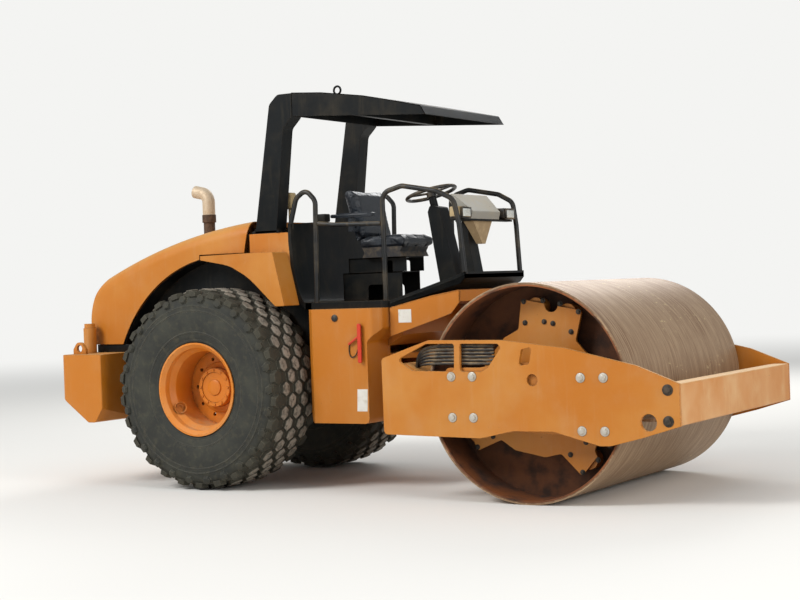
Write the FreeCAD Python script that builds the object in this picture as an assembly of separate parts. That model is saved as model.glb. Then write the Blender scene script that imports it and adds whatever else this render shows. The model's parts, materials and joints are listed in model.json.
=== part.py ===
"""Articulated soil compactor: one smooth drum ahead, two driven tyres behind.

Lengths are millimetres. The machine is drawn from its rear axle: x forward, y to
the left, z up from the ground. Each shape is moved to the middle of the machine's
length when it is written.
"""
import FreeCAD
import Part
import math
import os

V = FreeCAD.Vector

# Plates and clearances
PLATE = 25.0
SHEET = 6.0
SEAM = 10.0
FACE_GAP = 0.3
FIT = 0.1

# Machine's length, from the rear frame to the drum's axle and on to the front beam
REAR_END = -1400.0
FRAME_FRONT = 1375.0
NECK = 225.0
HITCH_LENGTH = 250.0
REAR_BEAM_DEPTH = 160.0
DRUM_BEHIND = 60.0
DRUM_R = 750.0
DRUM_AHEAD = 250.0
BEAM_DEPTH = 120.0
PIVOT_X = FRAME_FRONT + NECK
REAR_BEAM_BACK = PIVOT_X + HITCH_LENGTH
WHEELBASE = REAR_BEAM_BACK + REAR_BEAM_DEPTH + DRUM_BEHIND + DRUM_R
FRONT_OVERHANG = DRUM_R + DRUM_AHEAD + BEAM_DEPTH
FRONT_END = WHEELBASE + FRONT_OVERHANG
MIDDLE_X = (REAR_END + FRONT_END) / 2

# Drum
DRUM_HALF = 1050.0
DRUM_SHELL = 25.0
DRUM_HEAD_Y = 740.0
DRUM_HEAD_T = 20.0
DRIVE_Y = 850.0
DRIVE_T = 20.0
DRIVE_CLEARANCE = 80.0
DRIVE_ARM_REACH = 195.0
DRIVE_TIP_R = DRUM_R - DRUM_SHELL - DRIVE_CLEARANCE
DRIVE_DISC_R = DRIVE_TIP_R - DRIVE_ARM_REACH
DRIVE_NOTCH_R = 50.0
DRIVE_ARM_ANGLE = 79.0
DRIVE_ARM_HALF = 21.0
BUFFER_R = 68.0
BUFFER_INSET = 70.0
BUFFER_AT_R = DRIVE_TIP_R - BUFFER_INSET
BUFFER_HALF_ANGLE = 12.0
GEARBOX_R = 190.0

# Rear wheels
TYRE_R = 770.0
TYRE_W = 590.0
TYRE_Y = 755.0
TREAD_SHOULDER_R = 742.0
RIM_SEAT_R = 330.0
RIM_FLANGE_R = 358.0
RIM_HALF = 275.0
RIM_DROP_R = 300.0
RIM_WALL = 14.0
DISC_Y = 690.0
DISC_T = 24.0
HUB_R = 150.0
HUB_OUT = 80.0
SPINDLE_R = 60.0
STUD_CIRCLE_R = 225.0
STUD_HOLE_R = 14.0
STUD_COUNT = 10

# Front frame
YOKE_IN = 1080.0
YOKE_OUT = YOKE_IN + PLATE
BEAM_LOW = 549.0
BEAM_HIGH = 823.0
REAR_BEAM_LOW = 520.0
REAR_BEAM_HIGH = 960.0
BEAM_COVER = 129.0
EYE_X = 904.0
EYE_Z = 571.0
EYE_R = 56.0

# Articulation
EAR_NOSE_R = 130.0
EAR_T = 40.0
EAR_LOW = 500.0
EAR_HIGH = 960.0
PIVOT_PIN_R = 45.0
HITCH_R = 110.0
ROLL_Z = DRUM_R
ROLL_HOUSING_R = 150.0
ROLL_SHAFT_R = 80.0
ROLL_SHAFT_LENGTH = 150.0

# Steering cylinders
CYL_Z = 640.0
CYL_BACK_X = -560.0
CYL_BACK_Y = 140.0
CYL_FRONT_X = 110.0
CYL_FRONT_Y = 220.0
BARREL_R = 50.0
BORE_R = 40.0
ROD_R = 22.0
CYL_EYE_R = 40.0
CYL_EYE_HALF = 28.0
CYL_PIN_R = 20.0
CYL_EAR_T = 18.0
CYL_EAR_GAP = 6.0
CYL_NECK = 46.0
BARREL_LENGTH = 430.0
GLAND = 40.0
ROD_LENGTH = 500.0
PISTON_T = 30.0

# Rear frame
FRAME_HALF = 440.0
FRAME_LOW = 560.0
FRAME_WAIST = 1040.0
FRAME_BACK = -1010.0
FLOOR_Z = 1350.0
FLOOR_T = 50.0
FLOOR_HALF = 600.0
FLOOR_BACK = 746.0
FLOOR_FRONT = FRAME_FRONT + 121.0
TANK_BACK = 830.0
TANK_OUT = 740.0
TANK_LOW = 500.0
AXLE_TUBE_R = 110.0
AXLE_CASE_R = 205.0

# Wheel arch and hood
ARCH_X = -10.0
ARCH_Z = 650.0
ARCH_R = 1140.0
HOOD_HALF = 620.0
HOOD_BOTTOM = 1110.0
HOOD_SHOULDER_R = 105.0
HOOD_FRONT_X = 240.0
HINGE_X = 262.0
HINGE_Z = 2006.0
HINGE_Y = 300.0
HINGE_PIN_R = 10.0
HINGE_EYE_R = 20.0
KNUCKLE_HALF = 9.0
HINGE_LUG_T = 10.0
FENDER_OUT = 800.0
FENDER_TOP = 1795.0
FENDER_FRONT_X = 690.0

# Step irons
STEP_BACK = 930.0
STEP_WIDTH = 290.0
STEP_DEPTH = 120.0

# Counterweight
WEIGHT_HALF = 1050.0
WEIGHT_TOP = 1045.0
WEIGHT_LOW = 508.0
WEIGHT_FRONT = -925.0

# Canopy
POST_Y = 547.0
POST_W = 130.0
ROOF_HALF = 612.0

# Steering wheel
WHEEL_X = FLOOR_FRONT + 40.0
WHEEL_Z = 2205.0
WHEEL_TILT = 15.0
WHEEL_R = 190.0
WHEEL_HUB_DROP = 30.0

# Rails
RAIL_R = 19.0
RAIL_BEND = 80.0
POST_FOOT_X = FLOOR_FRONT - 80.0
RAIL_POST_Y = 520.0
HOOP_Y = 572.0
HOOP_FOOT_X = FLOOR_BACK + 87.0
BAR_R = 16.0
BAR_Z = 1985.0


def unit(a, b):
    """Direction and distance from a to b in a plane."""
    length = math.hypot(b[0] - a[0], b[1] - a[1])
    return (b[0] - a[0]) / length, (b[1] - a[1]) / length, length


def outline(corners, place):
    """Closed wire through corners (u, v) or (u, v, radius); place gives the space point."""
    edges = []
    joins = []
    count = len(corners)
    for index, corner in enumerate(corners):
        point = corner[:2]
        radius = corner[2] if len(corner) > 2 else 0.0
        ax, ay, a_length = unit(point, corners[index - 1][:2])
        bx, by, b_length = unit(point, corners[(index + 1) % count][:2])
        half = math.acos(max(-1.0, min(1.0, ax * bx + ay * by))) / 2
        if radius <= 0 or half > math.pi / 2 - 1e-3:
            joins.append((point, None, point))
            continue
        cut = min(radius / math.tan(half), 0.48 * a_length, 0.48 * b_length)
        radius = cut * math.tan(half)
        middle = (ax + bx, ay + by)
        size = math.hypot(*middle)
        reach = (radius / math.sin(half) - radius) / size
        start = (point[0] + ax * cut, point[1] + ay * cut)
        end = (point[0] + bx * cut, point[1] + by * cut)
        top = (point[0] + middle[0] * reach, point[1] + middle[1] * reach)
        joins.append((start, top, end))
    for index, (start, top, end) in enumerate(joins):
        previous = joins[index - 1][2]
        if math.hypot(start[0] - previous[0], start[1] - previous[1]) > 1e-6:
            edges.append(Part.LineSegment(place(*previous), place(*start)).toShape())
        if top:
            edges.append(Part.Arc(place(*start), place(*top), place(*end)).toShape())
    return Part.Wire(edges)


def slab_xz(corners, y0, y1):
    """Plate drawn in side view, from y0 to y1."""
    wire = outline(corners, lambda u, v: V(u, y0, v))
    return Part.Face(wire).extrude(V(0, y1 - y0, 0))


def slab_xy(corners, z0, z1):
    """Plate drawn in plan, from z0 to z1."""
    wire = outline(corners, lambda u, v: V(u, v, z0))
    return Part.Face(wire).extrude(V(0, 0, z1 - z0))


def slab_yz(corners, x0, x1):
    """Plate drawn from ahead, from x0 to x1."""
    wire = outline(corners, lambda u, v: V(x0, u, v))
    return Part.Face(wire).extrude(V(x1 - x0, 0, 0))


def block(x0, x1, y0, y1, z0, z1):
    """Box between two corners."""
    return Part.makeBox(x1 - x0, y1 - y0, z1 - z0, V(x0, y0, z0))


def rod(start, end, radius):
    """Round bar between two points."""
    run = end - start
    return Part.makeCylinder(radius, run.Length, start, run)


def turned(profile, x, z):
    """Ring about an axle along y; profile holds (radius, y) or (radius, y, corner)."""
    wire = outline(profile, lambda u, v: V(x + u, v, z))
    return Part.Face(wire).revolve(V(x, 0, z), V(0, 1, 0), 360)


def joined(*shapes):
    """One shape out of several that touch."""
    return shapes[0].fuse(list(shapes[1:])).removeSplitter()


def both(shape):
    """A shape and its mirror image across the machine's middle, kept apart."""
    return Part.makeCompound([shape, mirrored(shape)])


def mirrored(shape):
    """The same shape on the other side of the machine."""
    return shape.mirror(V(0, 0, 0), V(0, 1, 0))


def bent_tube(points, radius, bend):
    """Tube along straight runs joined by tangent arcs."""
    edges = []
    previous = points[0]
    for index in range(1, len(points) - 1):
        corner = points[index]
        back = points[index - 1] - corner
        ahead = points[index + 1] - corner
        half = back.getAngle(ahead) / 2
        cut = min(bend / math.tan(half), 0.45 * back.Length, 0.45 * ahead.Length)
        arc_radius = cut * math.tan(half)
        back.normalize()
        ahead.normalize()
        middle = back + ahead
        middle.normalize()
        start = corner + back * cut
        end = corner + ahead * cut
        top = corner + middle * (arc_radius / math.sin(half) - arc_radius)
        edges.append(Part.LineSegment(previous, start).toShape())
        edges.append(Part.Arc(start, top, end).toShape())
        previous = end
    edges.append(Part.LineSegment(previous, points[-1]).toShape())
    path = Part.Wire(edges)
    ring = Part.Wire([Part.makeCircle(radius, points[0], points[1] - points[0])])
    return path.makePipeShell([ring], True, False)


def drum_shell():
    """Rolled shell with its two welded heads."""
    shell = turned([(DRUM_R, -DRUM_HALF), (DRUM_R, DRUM_HALF), (DRUM_R - DRUM_SHELL, DRUM_HALF),
                    (DRUM_R - DRUM_SHELL, -DRUM_HALF)], WHEELBASE, DRUM_R)
    head = Part.makeCylinder(DRUM_R - DRUM_SHELL, DRUM_HEAD_T, V(WHEELBASE, DRUM_HEAD_Y - DRUM_HEAD_T, DRUM_R),
                             V(0, 1, 0))
    return joined(shell, head, mirrored(head))


def polar(radius, degrees):
    """Plane point at a radius and an angle."""
    return radius * math.cos(math.radians(degrees)), radius * math.sin(math.radians(degrees))


def drive_plate():
    """Three-armed plate on the left, with the rubber buffers that carry it."""
    corners = []
    for arm in range(3):
        middle = DRIVE_ARM_ANGLE + 120.0 * arm
        for turn, radius, corner in ((-DRIVE_ARM_HALF - 8, DRIVE_DISC_R, 30), (-DRIVE_ARM_HALF, DRIVE_TIP_R, 18),
                                     (DRIVE_ARM_HALF, DRIVE_TIP_R, 18), (DRIVE_ARM_HALF + 8, DRIVE_DISC_R, 30)):
            u, v = polar(radius, middle + turn)
            corners.append((WHEELBASE + u, DRUM_R + v, corner))
        for turn in (DRIVE_ARM_HALF + 24, DRIVE_ARM_HALF + 54):
            u, v = polar(DRIVE_DISC_R, middle + turn)
            corners.append((WHEELBASE + u, DRUM_R + v, 60))
    plate = slab_xz(corners, DRIVE_Y - DRIVE_T, DRIVE_Y)
    parts = [plate]
    for arm in range(3):
        middle = DRIVE_ARM_ANGLE + 120.0 * arm
        u, v = polar(DRIVE_TIP_R * math.cos(math.radians(DRIVE_ARM_HALF)), middle)
        notch = Part.makeCylinder(DRIVE_NOTCH_R, 3 * DRIVE_T, V(WHEELBASE + u, DRIVE_Y - 2 * DRIVE_T, DRUM_R + v),
                                  V(0, 1, 0))
        parts[0] = parts[0].cut(notch)
        for side in (-1, 1):
            u, v = polar(BUFFER_AT_R, middle + side * BUFFER_HALF_ANGLE)
            parts.append(rod(V(WHEELBASE + u, DRUM_HEAD_Y, DRUM_R + v),
                             V(WHEELBASE + u, DRIVE_Y - DRIVE_T, DRUM_R + v), BUFFER_R))
    return joined(*parts)


def drum_motor():
    """Carrier plate and gearbox between the side plate and the drive plate, on the left."""
    carrier = slab_xz([(WHEELBASE + x, z, 40) for x, z in ((-600, 520), (-600, 930), (-330, 930), (-150, 960),
                                                          (150, 960), (400, 930), (640, 900), (640, 460),
                                                          (300, 480), (-150, 500))],
                      YOKE_IN - PLATE, YOKE_IN)
    case = Part.makeCylinder(GEARBOX_R, YOKE_IN - PLATE - DRIVE_Y - FACE_GAP,
                             V(WHEELBASE, DRIVE_Y + FACE_GAP, DRUM_R), V(0, 1, 0))
    return joined(carrier, case)


def yoke_plate():
    """Left side plate of the front frame, with its windows, slot and eye."""
    # Columns: distance ahead of the drum's axle, height, corner radius
    back = REAR_BEAM_BACK - WHEELBASE - BEAM_COVER
    edge = [(back, 998, 30), (-714, 1123, 60), (-147, 1117, 60), (318, 1059, 80), (829, 939, 80),
            (FRONT_OVERHANG - 92, 860, 10), (FRONT_OVERHANG, BEAM_HIGH, 6), (FRONT_OVERHANG, BEAM_LOW, 6),
            (858, 471, 60), (635, 415, 40), (559, 413, 40), (224, 502, 60), (-76, 502, 60), (-326, 449, 60),
            (back + 3, 465, 30)]
    rear_window = [(-972, 988, 20), (-736, 1097, 20), (-509, 1097, 20), (-515, 905, 30), (-850, 911, 40)]
    front_window = [(-465, 1096, 15), (-173, 1092, 15), (-149, 1066, 15), (-254, 929, 20), (-306, 903, 20),
                    (-470, 904, 25)]
    plate = slab_xz([(WHEELBASE + x, z, r) for x, z, r in edge], YOKE_IN, YOKE_OUT)
    for window in (rear_window, front_window):
        hole = slab_xz([(WHEELBASE + x, z, r) for x, z, r in window], YOKE_IN - SEAM, YOKE_OUT + SEAM)
        plate = plate.cut(hole)
    for x, z, radius in ((EYE_X, EYE_Z, EYE_R), (79, 846, 40)):
        plate = plate.cut(Part.makeCylinder(radius, PLATE + 2 * SEAM, V(WHEELBASE + x, YOKE_IN - SEAM, z),
                                            V(0, 1, 0)))
    slot = slab_xz([(WHEELBASE - 20, 940, 18), (WHEELBASE + 60, 955, 18), (WHEELBASE + 84, 1068, 18),
                    (WHEELBASE + 4, 1052, 18)], YOKE_IN - SEAM, YOKE_OUT + SEAM)
    return plate.cut(slot)


def yoke_beams():
    """Front beam and rear beam between the side plates; the rear one carries the roll shaft."""
    front = slab_xz([(FRONT_END - BEAM_DEPTH, BEAM_LOW, 12), (FRONT_END, BEAM_LOW, 12), (FRONT_END, BEAM_HIGH, 12),
                     (FRONT_END - BEAM_DEPTH, BEAM_HIGH, 12)], -YOKE_IN, YOKE_IN)
    rear = slab_xz([(REAR_BEAM_BACK, REAR_BEAM_LOW), (REAR_BEAM_BACK + REAR_BEAM_DEPTH, REAR_BEAM_LOW + 60),
                    (REAR_BEAM_BACK + REAR_BEAM_DEPTH, REAR_BEAM_HIGH - 60), (REAR_BEAM_BACK + 60, REAR_BEAM_HIGH),
                    (REAR_BEAM_BACK, REAR_BEAM_HIGH)], -YOKE_IN, YOKE_IN)
    shaft = rod(V(REAR_BEAM_BACK - ROLL_SHAFT_LENGTH, 0, ROLL_Z), V(REAR_BEAM_BACK, 0, ROLL_Z), ROLL_SHAFT_R)
    return front, joined(rear, shaft)


def hitch():
    """Steering block: upright bearing, roll bearing ahead of it and ears for the rods."""
    upright = rod(V(PIVOT_X, 0, EAR_LOW + EAR_T + FACE_GAP), V(PIVOT_X, 0, EAR_HIGH - FACE_GAP), HITCH_R)
    housing = rod(V(PIVOT_X, 0, ROLL_Z), V(REAR_BEAM_BACK - FACE_GAP, 0, ROLL_Z), ROLL_HOUSING_R)
    parts = [upright, housing]
    gap = CYL_EYE_HALF + CYL_EAR_GAP
    ear = [(PIVOT_X, HITCH_R - 20, 0), (PIVOT_X + CYL_FRONT_X - 30, CYL_FRONT_Y + CYL_EYE_R, 30),
           (PIVOT_X + CYL_FRONT_X + 45, CYL_FRONT_Y + CYL_EYE_R, 30), (PIVOT_X + CYL_FRONT_X + 60, 0, 0),
           (PIVOT_X, 0, 0)]
    for z0 in (CYL_Z - gap - CYL_EAR_T, CYL_Z + gap):
        plate = slab_xy(ear, z0, z0 + CYL_EAR_T)
        parts.append(plate)
        parts.append(mirrored(plate))
    body = joined(*parts)
    body = body.cut(rod(V(PIVOT_X, 0, 0), V(PIVOT_X, 0, 2 * EAR_HIGH), PIVOT_PIN_R + FIT))
    return body.cut(rod(V(REAR_BEAM_BACK - ROLL_SHAFT_LENGTH - FACE_GAP, 0, ROLL_Z), V(REAR_BEAM_BACK + 1, 0, ROLL_Z),
                        ROLL_SHAFT_R + FIT))


def cylinder_line():
    """Pins of the left steering cylinder and the direction between them."""
    back = V(PIVOT_X + CYL_BACK_X, CYL_BACK_Y, CYL_Z)
    front = V(PIVOT_X + CYL_FRONT_X, CYL_FRONT_Y, CYL_Z)
    run = front - back
    reach = run.Length
    run.normalize()
    return back, front, run, reach


def steering_barrel():
    """Left cylinder barrel, with the eye at its closed end."""
    back, front, run, reach = cylinder_line()
    up = V(0, 0, CYL_EYE_HALF)
    tube = rod(back + run * CYL_NECK, back + run * BARREL_LENGTH, BARREL_R)
    tube = tube.cut(rod(back + run * CYL_NECK, back + run * (BARREL_LENGTH - GLAND), BORE_R))
    tube = tube.cut(rod(back + run * CYL_NECK, back + run * (BARREL_LENGTH + 1), ROD_R + FIT))
    neck = rod(back + run * (CYL_PIN_R + 8), back + run * CYL_NECK, CYL_EYE_HALF - 4)
    cap = rod(back + run * CYL_NECK, back + run * (CYL_NECK + 6), BARREL_R)
    eye = rod(back - up, back + up, CYL_EYE_R)
    body = joined(tube, cap, neck, eye)
    return body.cut(rod(back - up, back + up, CYL_PIN_R + FIT))


def steering_rod():
    """Left cylinder rod with its piston and its eye, which holds its own pin."""
    back, front, run, reach = cylinder_line()
    inner = back + run * (reach - ROD_LENGTH)
    up = V(0, 0, CYL_EYE_HALF)
    bar = rod(inner, front, ROD_R)
    piston = rod(inner, inner + run * PISTON_T, BORE_R - FIT)
    eye = rod(front - up, front + up, CYL_EYE_R)
    return joined(bar, piston, eye)


def main_frame():
    """Side plates, cross plates and the ears that hold the upright pivot."""
    side = [(FRAME_BACK, FRAME_LOW, 40), (FRAME_BACK, FRAME_WAIST, 20), (TANK_BACK, FRAME_WAIST, 60),
            (TANK_BACK, FLOOR_Z, 0), (FRAME_FRONT, FLOOR_Z, 0), (FRAME_FRONT, FRAME_LOW, 60)]
    plate = slab_xz(side, FRAME_HALF - PLATE, FRAME_HALF)
    plate = plate.cut(rod(V(0, 0, TYRE_R), V(0, FRAME_HALF + PLATE, TYRE_R), AXLE_TUBE_R))
    parts = [plate, mirrored(plate)]
    inner = FRAME_HALF - PLATE
    for x in (FRAME_BACK, 600.0, 930.0):
        parts.append(block(x, x + PLATE, -inner, inner, FRAME_LOW, FRAME_WAIST))
    pin = V(PIVOT_X, 0, 0)
    for z0 in (EAR_LOW, EAR_HIGH):
        reach = [(930.0, -inner), (FRAME_FRONT, -inner), (PIVOT_X, -EAR_NOSE_R), (PIVOT_X, EAR_NOSE_R),
                 (FRAME_FRONT, inner), (930.0, inner)]
        ear = slab_xy(reach, z0, z0 + EAR_T)
        nose = Part.makeCylinder(EAR_NOSE_R, EAR_T, pin + V(0, 0, z0))
        parts.append(joined(ear, nose))
    for side_y in (-CYL_BACK_Y, CYL_BACK_Y):
        for z0 in (CYL_Z - CYL_EYE_HALF - CYL_EAR_GAP - CYL_EAR_T, CYL_Z + CYL_EYE_HALF + CYL_EAR_GAP):
            at_x = PIVOT_X + CYL_BACK_X
            lug = slab_xy([(930.0 + PLATE, side_y - 60), (at_x + 30, side_y - 36, 34), (at_x + 30, side_y + 36, 34),
                           (930.0 + PLATE, side_y + 60)], z0, z0 + CYL_EAR_T)
            parts.append(lug)
        parts.append(rod(V(PIVOT_X + CYL_BACK_X, side_y, CYL_Z - CYL_EYE_HALF - CYL_EAR_GAP - CYL_EAR_T),
                         V(PIVOT_X + CYL_BACK_X, side_y, CYL_Z + CYL_EYE_HALF + CYL_EAR_GAP + CYL_EAR_T), CYL_PIN_R))
    tie = slab_xz([(930.0, EAR_LOW), (930.0, FRAME_LOW + 60), (FRAME_FRONT, FRAME_LOW + 60), (FRAME_FRONT, EAR_LOW)],
                  inner, FRAME_HALF)
    body = joined(*parts, tie, mirrored(tie))
    return body.cut(rod(pin, pin + V(0, 0, 2 * EAR_HIGH), PIVOT_PIN_R))


def pivot_pin():
    """Upright pin through the ears, with a head and a cap."""
    low = V(PIVOT_X, 0, EAR_LOW)
    high = V(PIVOT_X, 0, EAR_HIGH + EAR_T)
    cap = V(0, 0, 18)
    return joined(rod(low, high, PIVOT_PIN_R), rod(high, high + cap, 75), rod(low - cap, low, 75))


def side_tank():
    """Left tank beside the frame, between the tyre and the front frame."""
    side = [(TANK_BACK, TANK_LOW, 60), (TANK_BACK, FLOOR_Z, 0), (FRAME_FRONT + 105, FLOOR_Z, 0),
            (FRAME_FRONT + 105, 1200, 30), (FRAME_FRONT, 1105, 40), (FRAME_FRONT, TANK_LOW, 40)]
    body = slab_xz(side, FRAME_HALF, TANK_OUT)
    plan = slab_xy([(TANK_BACK - 1, FRAME_HALF - 1), (TANK_BACK - 1, TANK_OUT - 60), (TANK_BACK + 60, TANK_OUT),
                    (FRAME_FRONT + 40, TANK_OUT, 40), (FRAME_FRONT + 106, TANK_OUT - 60, 40),
                    (FRAME_FRONT + 106, FRAME_HALF - 1)], TANK_LOW - 1, FLOOR_Z + 1)
    return body.common(plan)


def rear_axle():
    """Axle tube with its gear case, and the spindles that carry the wheels."""
    reach = DISC_Y - 60
    tube = rod(V(0, -FRAME_HALF - 40, TYRE_R), V(0, FRAME_HALF + 40, TYRE_R), AXLE_TUBE_R)
    case = turned([(0, -170), (150, -170, 30), (AXLE_CASE_R, -60, 60), (AXLE_CASE_R, 60, 60), (150, 170, 30),
                   (0, 170)], 0, TYRE_R)
    nose = rod(V(0, 0, TYRE_R), V(330, 0, TYRE_R), 90)
    arm = rod(V(0, -reach + FACE_GAP, TYRE_R), V(0, reach - FACE_GAP, TYRE_R), 95)
    spindle = rod(V(0, -DISC_Y, TYRE_R), V(0, DISC_Y, TYRE_R), SPINDLE_R)
    return joined(tube, case, nose, arm, spindle)


def engine():
    """Engine as one block on its four feet."""
    body = slab_yz([(-330, 900, 60), (330, 900, 60), (330, 1380, 40), (200, 1500, 40), (-200, 1500, 40),
                    (-330, 1380, 40)], -900, -AXLE_CASE_R - 2 * SEAM)
    feet = []
    for x in (-820, -280):
        feet.append(block(x, x + 90, -FRAME_HALF + PLATE, FRAME_HALF - PLATE, 930, 970))
    return joined(body, *feet)


def wheel_rim():
    """Left rim with its dished disc, studs' holes and hub."""
    out = TYRE_Y + RIM_HALF
    inn = TYRE_Y - RIM_HALF
    well = RIM_DROP_R - RIM_WALL
    profile = [(RIM_FLANGE_R, out), (RIM_FLANGE_R, out - 18, 6), (RIM_SEAT_R, out - 18), (RIM_SEAT_R, out - 68),
               (RIM_DROP_R, out - 110, 12), (RIM_DROP_R, inn + 110, 12), (RIM_SEAT_R, inn + 68), (RIM_SEAT_R, inn + 18),
               (RIM_FLANGE_R, inn + 18, 6), (RIM_FLANGE_R, inn), (RIM_FLANGE_R - RIM_WALL, inn),
               (RIM_SEAT_R - RIM_WALL, inn + 26, 6), (RIM_SEAT_R - RIM_WALL, inn + 74, 8), (well, inn + 118, 12),
               (well, DISC_Y), (0, DISC_Y), (0, DISC_Y + DISC_T), (well, DISC_Y + DISC_T), (well, out - 118, 12),
               (RIM_SEAT_R - RIM_WALL, out - 74, 8), (RIM_SEAT_R - RIM_WALL, out - 26, 6), (RIM_FLANGE_R - RIM_WALL, out)]
    rim = turned(profile, 0, TYRE_R)
    hub = turned([(0, DISC_Y - 60), (HUB_R, DISC_Y - 60, 10), (HUB_R, DISC_Y + DISC_T + HUB_OUT - 25, 12),
                  (HUB_R - 35, DISC_Y + DISC_T + HUB_OUT, 12), (0, DISC_Y + DISC_T + HUB_OUT)], 0, TYRE_R)
    body = joined(rim, hub)
    for index in range(STUD_COUNT):
        u, v = polar(STUD_CIRCLE_R, 360.0 * index / STUD_COUNT)
        body = body.cut(rod(V(u, DISC_Y - 1, TYRE_R + v), V(u, DISC_Y + DISC_T + 1, TYRE_R + v), STUD_HOLE_R))
    return body.cut(rod(V(0, DISC_Y - 61, TYRE_R), V(0, DISC_Y + FACE_GAP, TYRE_R), SPINDLE_R + FIT))


def tyre():
    """Left tyre, out to the tips of its tread."""
    half = TYRE_W / 2
    y = TYRE_Y
    bead = RIM_HALF - 18
    profile = [(RIM_SEAT_R, y - bead), (RIM_FLANGE_R + 4, y - bead, 6), (RIM_FLANGE_R + 30, y - bead - 14, 20),
               (520, y - half, 90), (660, y - half + 12, 60), (TREAD_SHOULDER_R, y - half + 45, 25),
               (TYRE_R, y - half + 130, 60), (TYRE_R, y + half - 130, 60), (TREAD_SHOULDER_R, y + half - 45, 25),
               (660, y + half - 12, 60), (520, y + half, 90), (RIM_FLANGE_R + 30, y + bead + 14, 20),
               (RIM_FLANGE_R + 4, y + bead, 6), (RIM_SEAT_R, y + bead)]
    return turned(profile, 0, TYRE_R)


def hood_profile(inset, low, front):
    """Side view of the hood, moved inwards by inset."""
    rear_low = V(-1350 + inset, 0, low)
    rear_mid = V(-1384 + inset, 0, 1330)
    rear_top = V(-1262 + inset, 0, 1610 - inset)
    top_back = V(-1215 + inset, 0, 1665 - inset)
    top_mid = V(-500, 0, 1917 - inset)
    top_front = V(front, 0, 2047 - inset)
    return rear_low, rear_mid, rear_top, top_back, top_mid, top_front


def hood_solid(inset, low, front, half, shoulder):
    """Closed hood form; its long edges are rounded."""
    rear_low, rear_mid, rear_top, top_back, top_mid, top_front = hood_profile(inset, low, front)
    nose = V(front, 0, low)
    edges = [Part.Arc(rear_low, rear_mid, rear_top).toShape(),
             Part.LineSegment(rear_top, top_back).toShape(),
             Part.Arc(top_back, top_mid, top_front).toShape(),
             Part.LineSegment(top_front, nose).toShape(),
             Part.LineSegment(nose, rear_low).toShape()]
    face = Part.Face(Part.Wire(edges))
    face.translate(V(0, -half, 0))
    solid = face.extrude(V(0, 2 * half, 0))
    rounded = []
    for edge in solid.Edges:
        box = edge.BoundBox
        flat = box.YLength < 1
        on_side = abs(abs(box.YMin) - half) < 1
        long_top = box.ZMax > 1800 and box.XLength > 900 and box.ZLength > 50
        if flat and on_side and long_top:
            rounded.append(edge)
    return solid.makeFillet(shoulder, rounded)


def hood():
    """Hood shell, open below and ahead, with its arches over the tyres."""
    outer = hood_solid(0, HOOD_BOTTOM, HOOD_FRONT_X, HOOD_HALF, HOOD_SHOULDER_R)
    inner = hood_solid(SHEET, HOOD_BOTTOM - 100, HOOD_FRONT_X + 50, HOOD_HALF - SHEET, HOOD_SHOULDER_R - SHEET)
    shell = outer.cut(inner)
    arch = rod(V(ARCH_X, -HOOD_HALF - 1, ARCH_Z), V(ARCH_X, HOOD_HALF + 1, ARCH_Z), ARCH_R)
    shell = shell.cut(arch)
    notch = block(-240, HOOD_FRONT_X + 60, -HOOD_HALF - 1, HOOD_HALF + 1, HOOD_BOTTOM - 1, FENDER_TOP + SEAM)
    shell = shell.cut(notch)
    corner = slab_xz([(HOOD_FRONT_X - 45, FENDER_TOP), (HOOD_FRONT_X + 60, FENDER_TOP), (HOOD_FRONT_X + 60, 1990),
                      (HOOD_FRONT_X, 1990)], -HOOD_HALF - 1, HOOD_HALF + 1)
    shell = shell.cut(corner)
    lip = block(HOOD_FRONT_X - 60, HOOD_FRONT_X, -420, 420, 2047 - 40, 2047 - SHEET)
    lip = lip.common(outer)
    knuckles = []
    for y in (-HINGE_Y, HINGE_Y):
        arm = slab_xz([(HOOD_FRONT_X - 60, 1998), (HINGE_X, HINGE_Z - HINGE_EYE_R), (HINGE_X, HINGE_Z + HINGE_EYE_R),
                       (HOOD_FRONT_X - 10, 2036), (HOOD_FRONT_X - 60, 2030)], y - KNUCKLE_HALF, y + KNUCKLE_HALF)
        eye = rod(V(HINGE_X, y - KNUCKLE_HALF, HINGE_Z), V(HINGE_X, y + KNUCKLE_HALF, HINGE_Z), HINGE_EYE_R)
        knuckles.append(joined(arm, eye))
    body = joined(shell, lip, *knuckles)
    return body.cut(rod(V(HINGE_X, -HOOD_HALF, HINGE_Z), V(HINGE_X, HOOD_HALF, HINGE_Z), HINGE_PIN_R + FIT))


def exhaust():
    """Stack on the hood with its clamp and its elbow, which faces the rear."""
    base = V(-605, 0, 1885)
    clamp = V(-605, 0, 2090)
    pipe = rod(base, clamp, 46)
    collar = rod(clamp, clamp + V(0, 0, 60), 56)
    elbow = bent_tube([clamp + V(0, 0, 60), V(-605, 0, 2320), V(-740, 0, 2350)], 52, 120)
    flange = rod(base, base + V(0, 0, 30), 75)
    cut = hood_solid(0, HOOD_BOTTOM, HOOD_FRONT_X, HOOD_HALF, HOOD_SHOULDER_R)
    hollow = rod(V(-740 - 30, 0, 2357), V(-740 + 60, 0, 2343), 44)
    return joined(pipe, collar, elbow, flange).cut(cut).cut(hollow)


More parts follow.
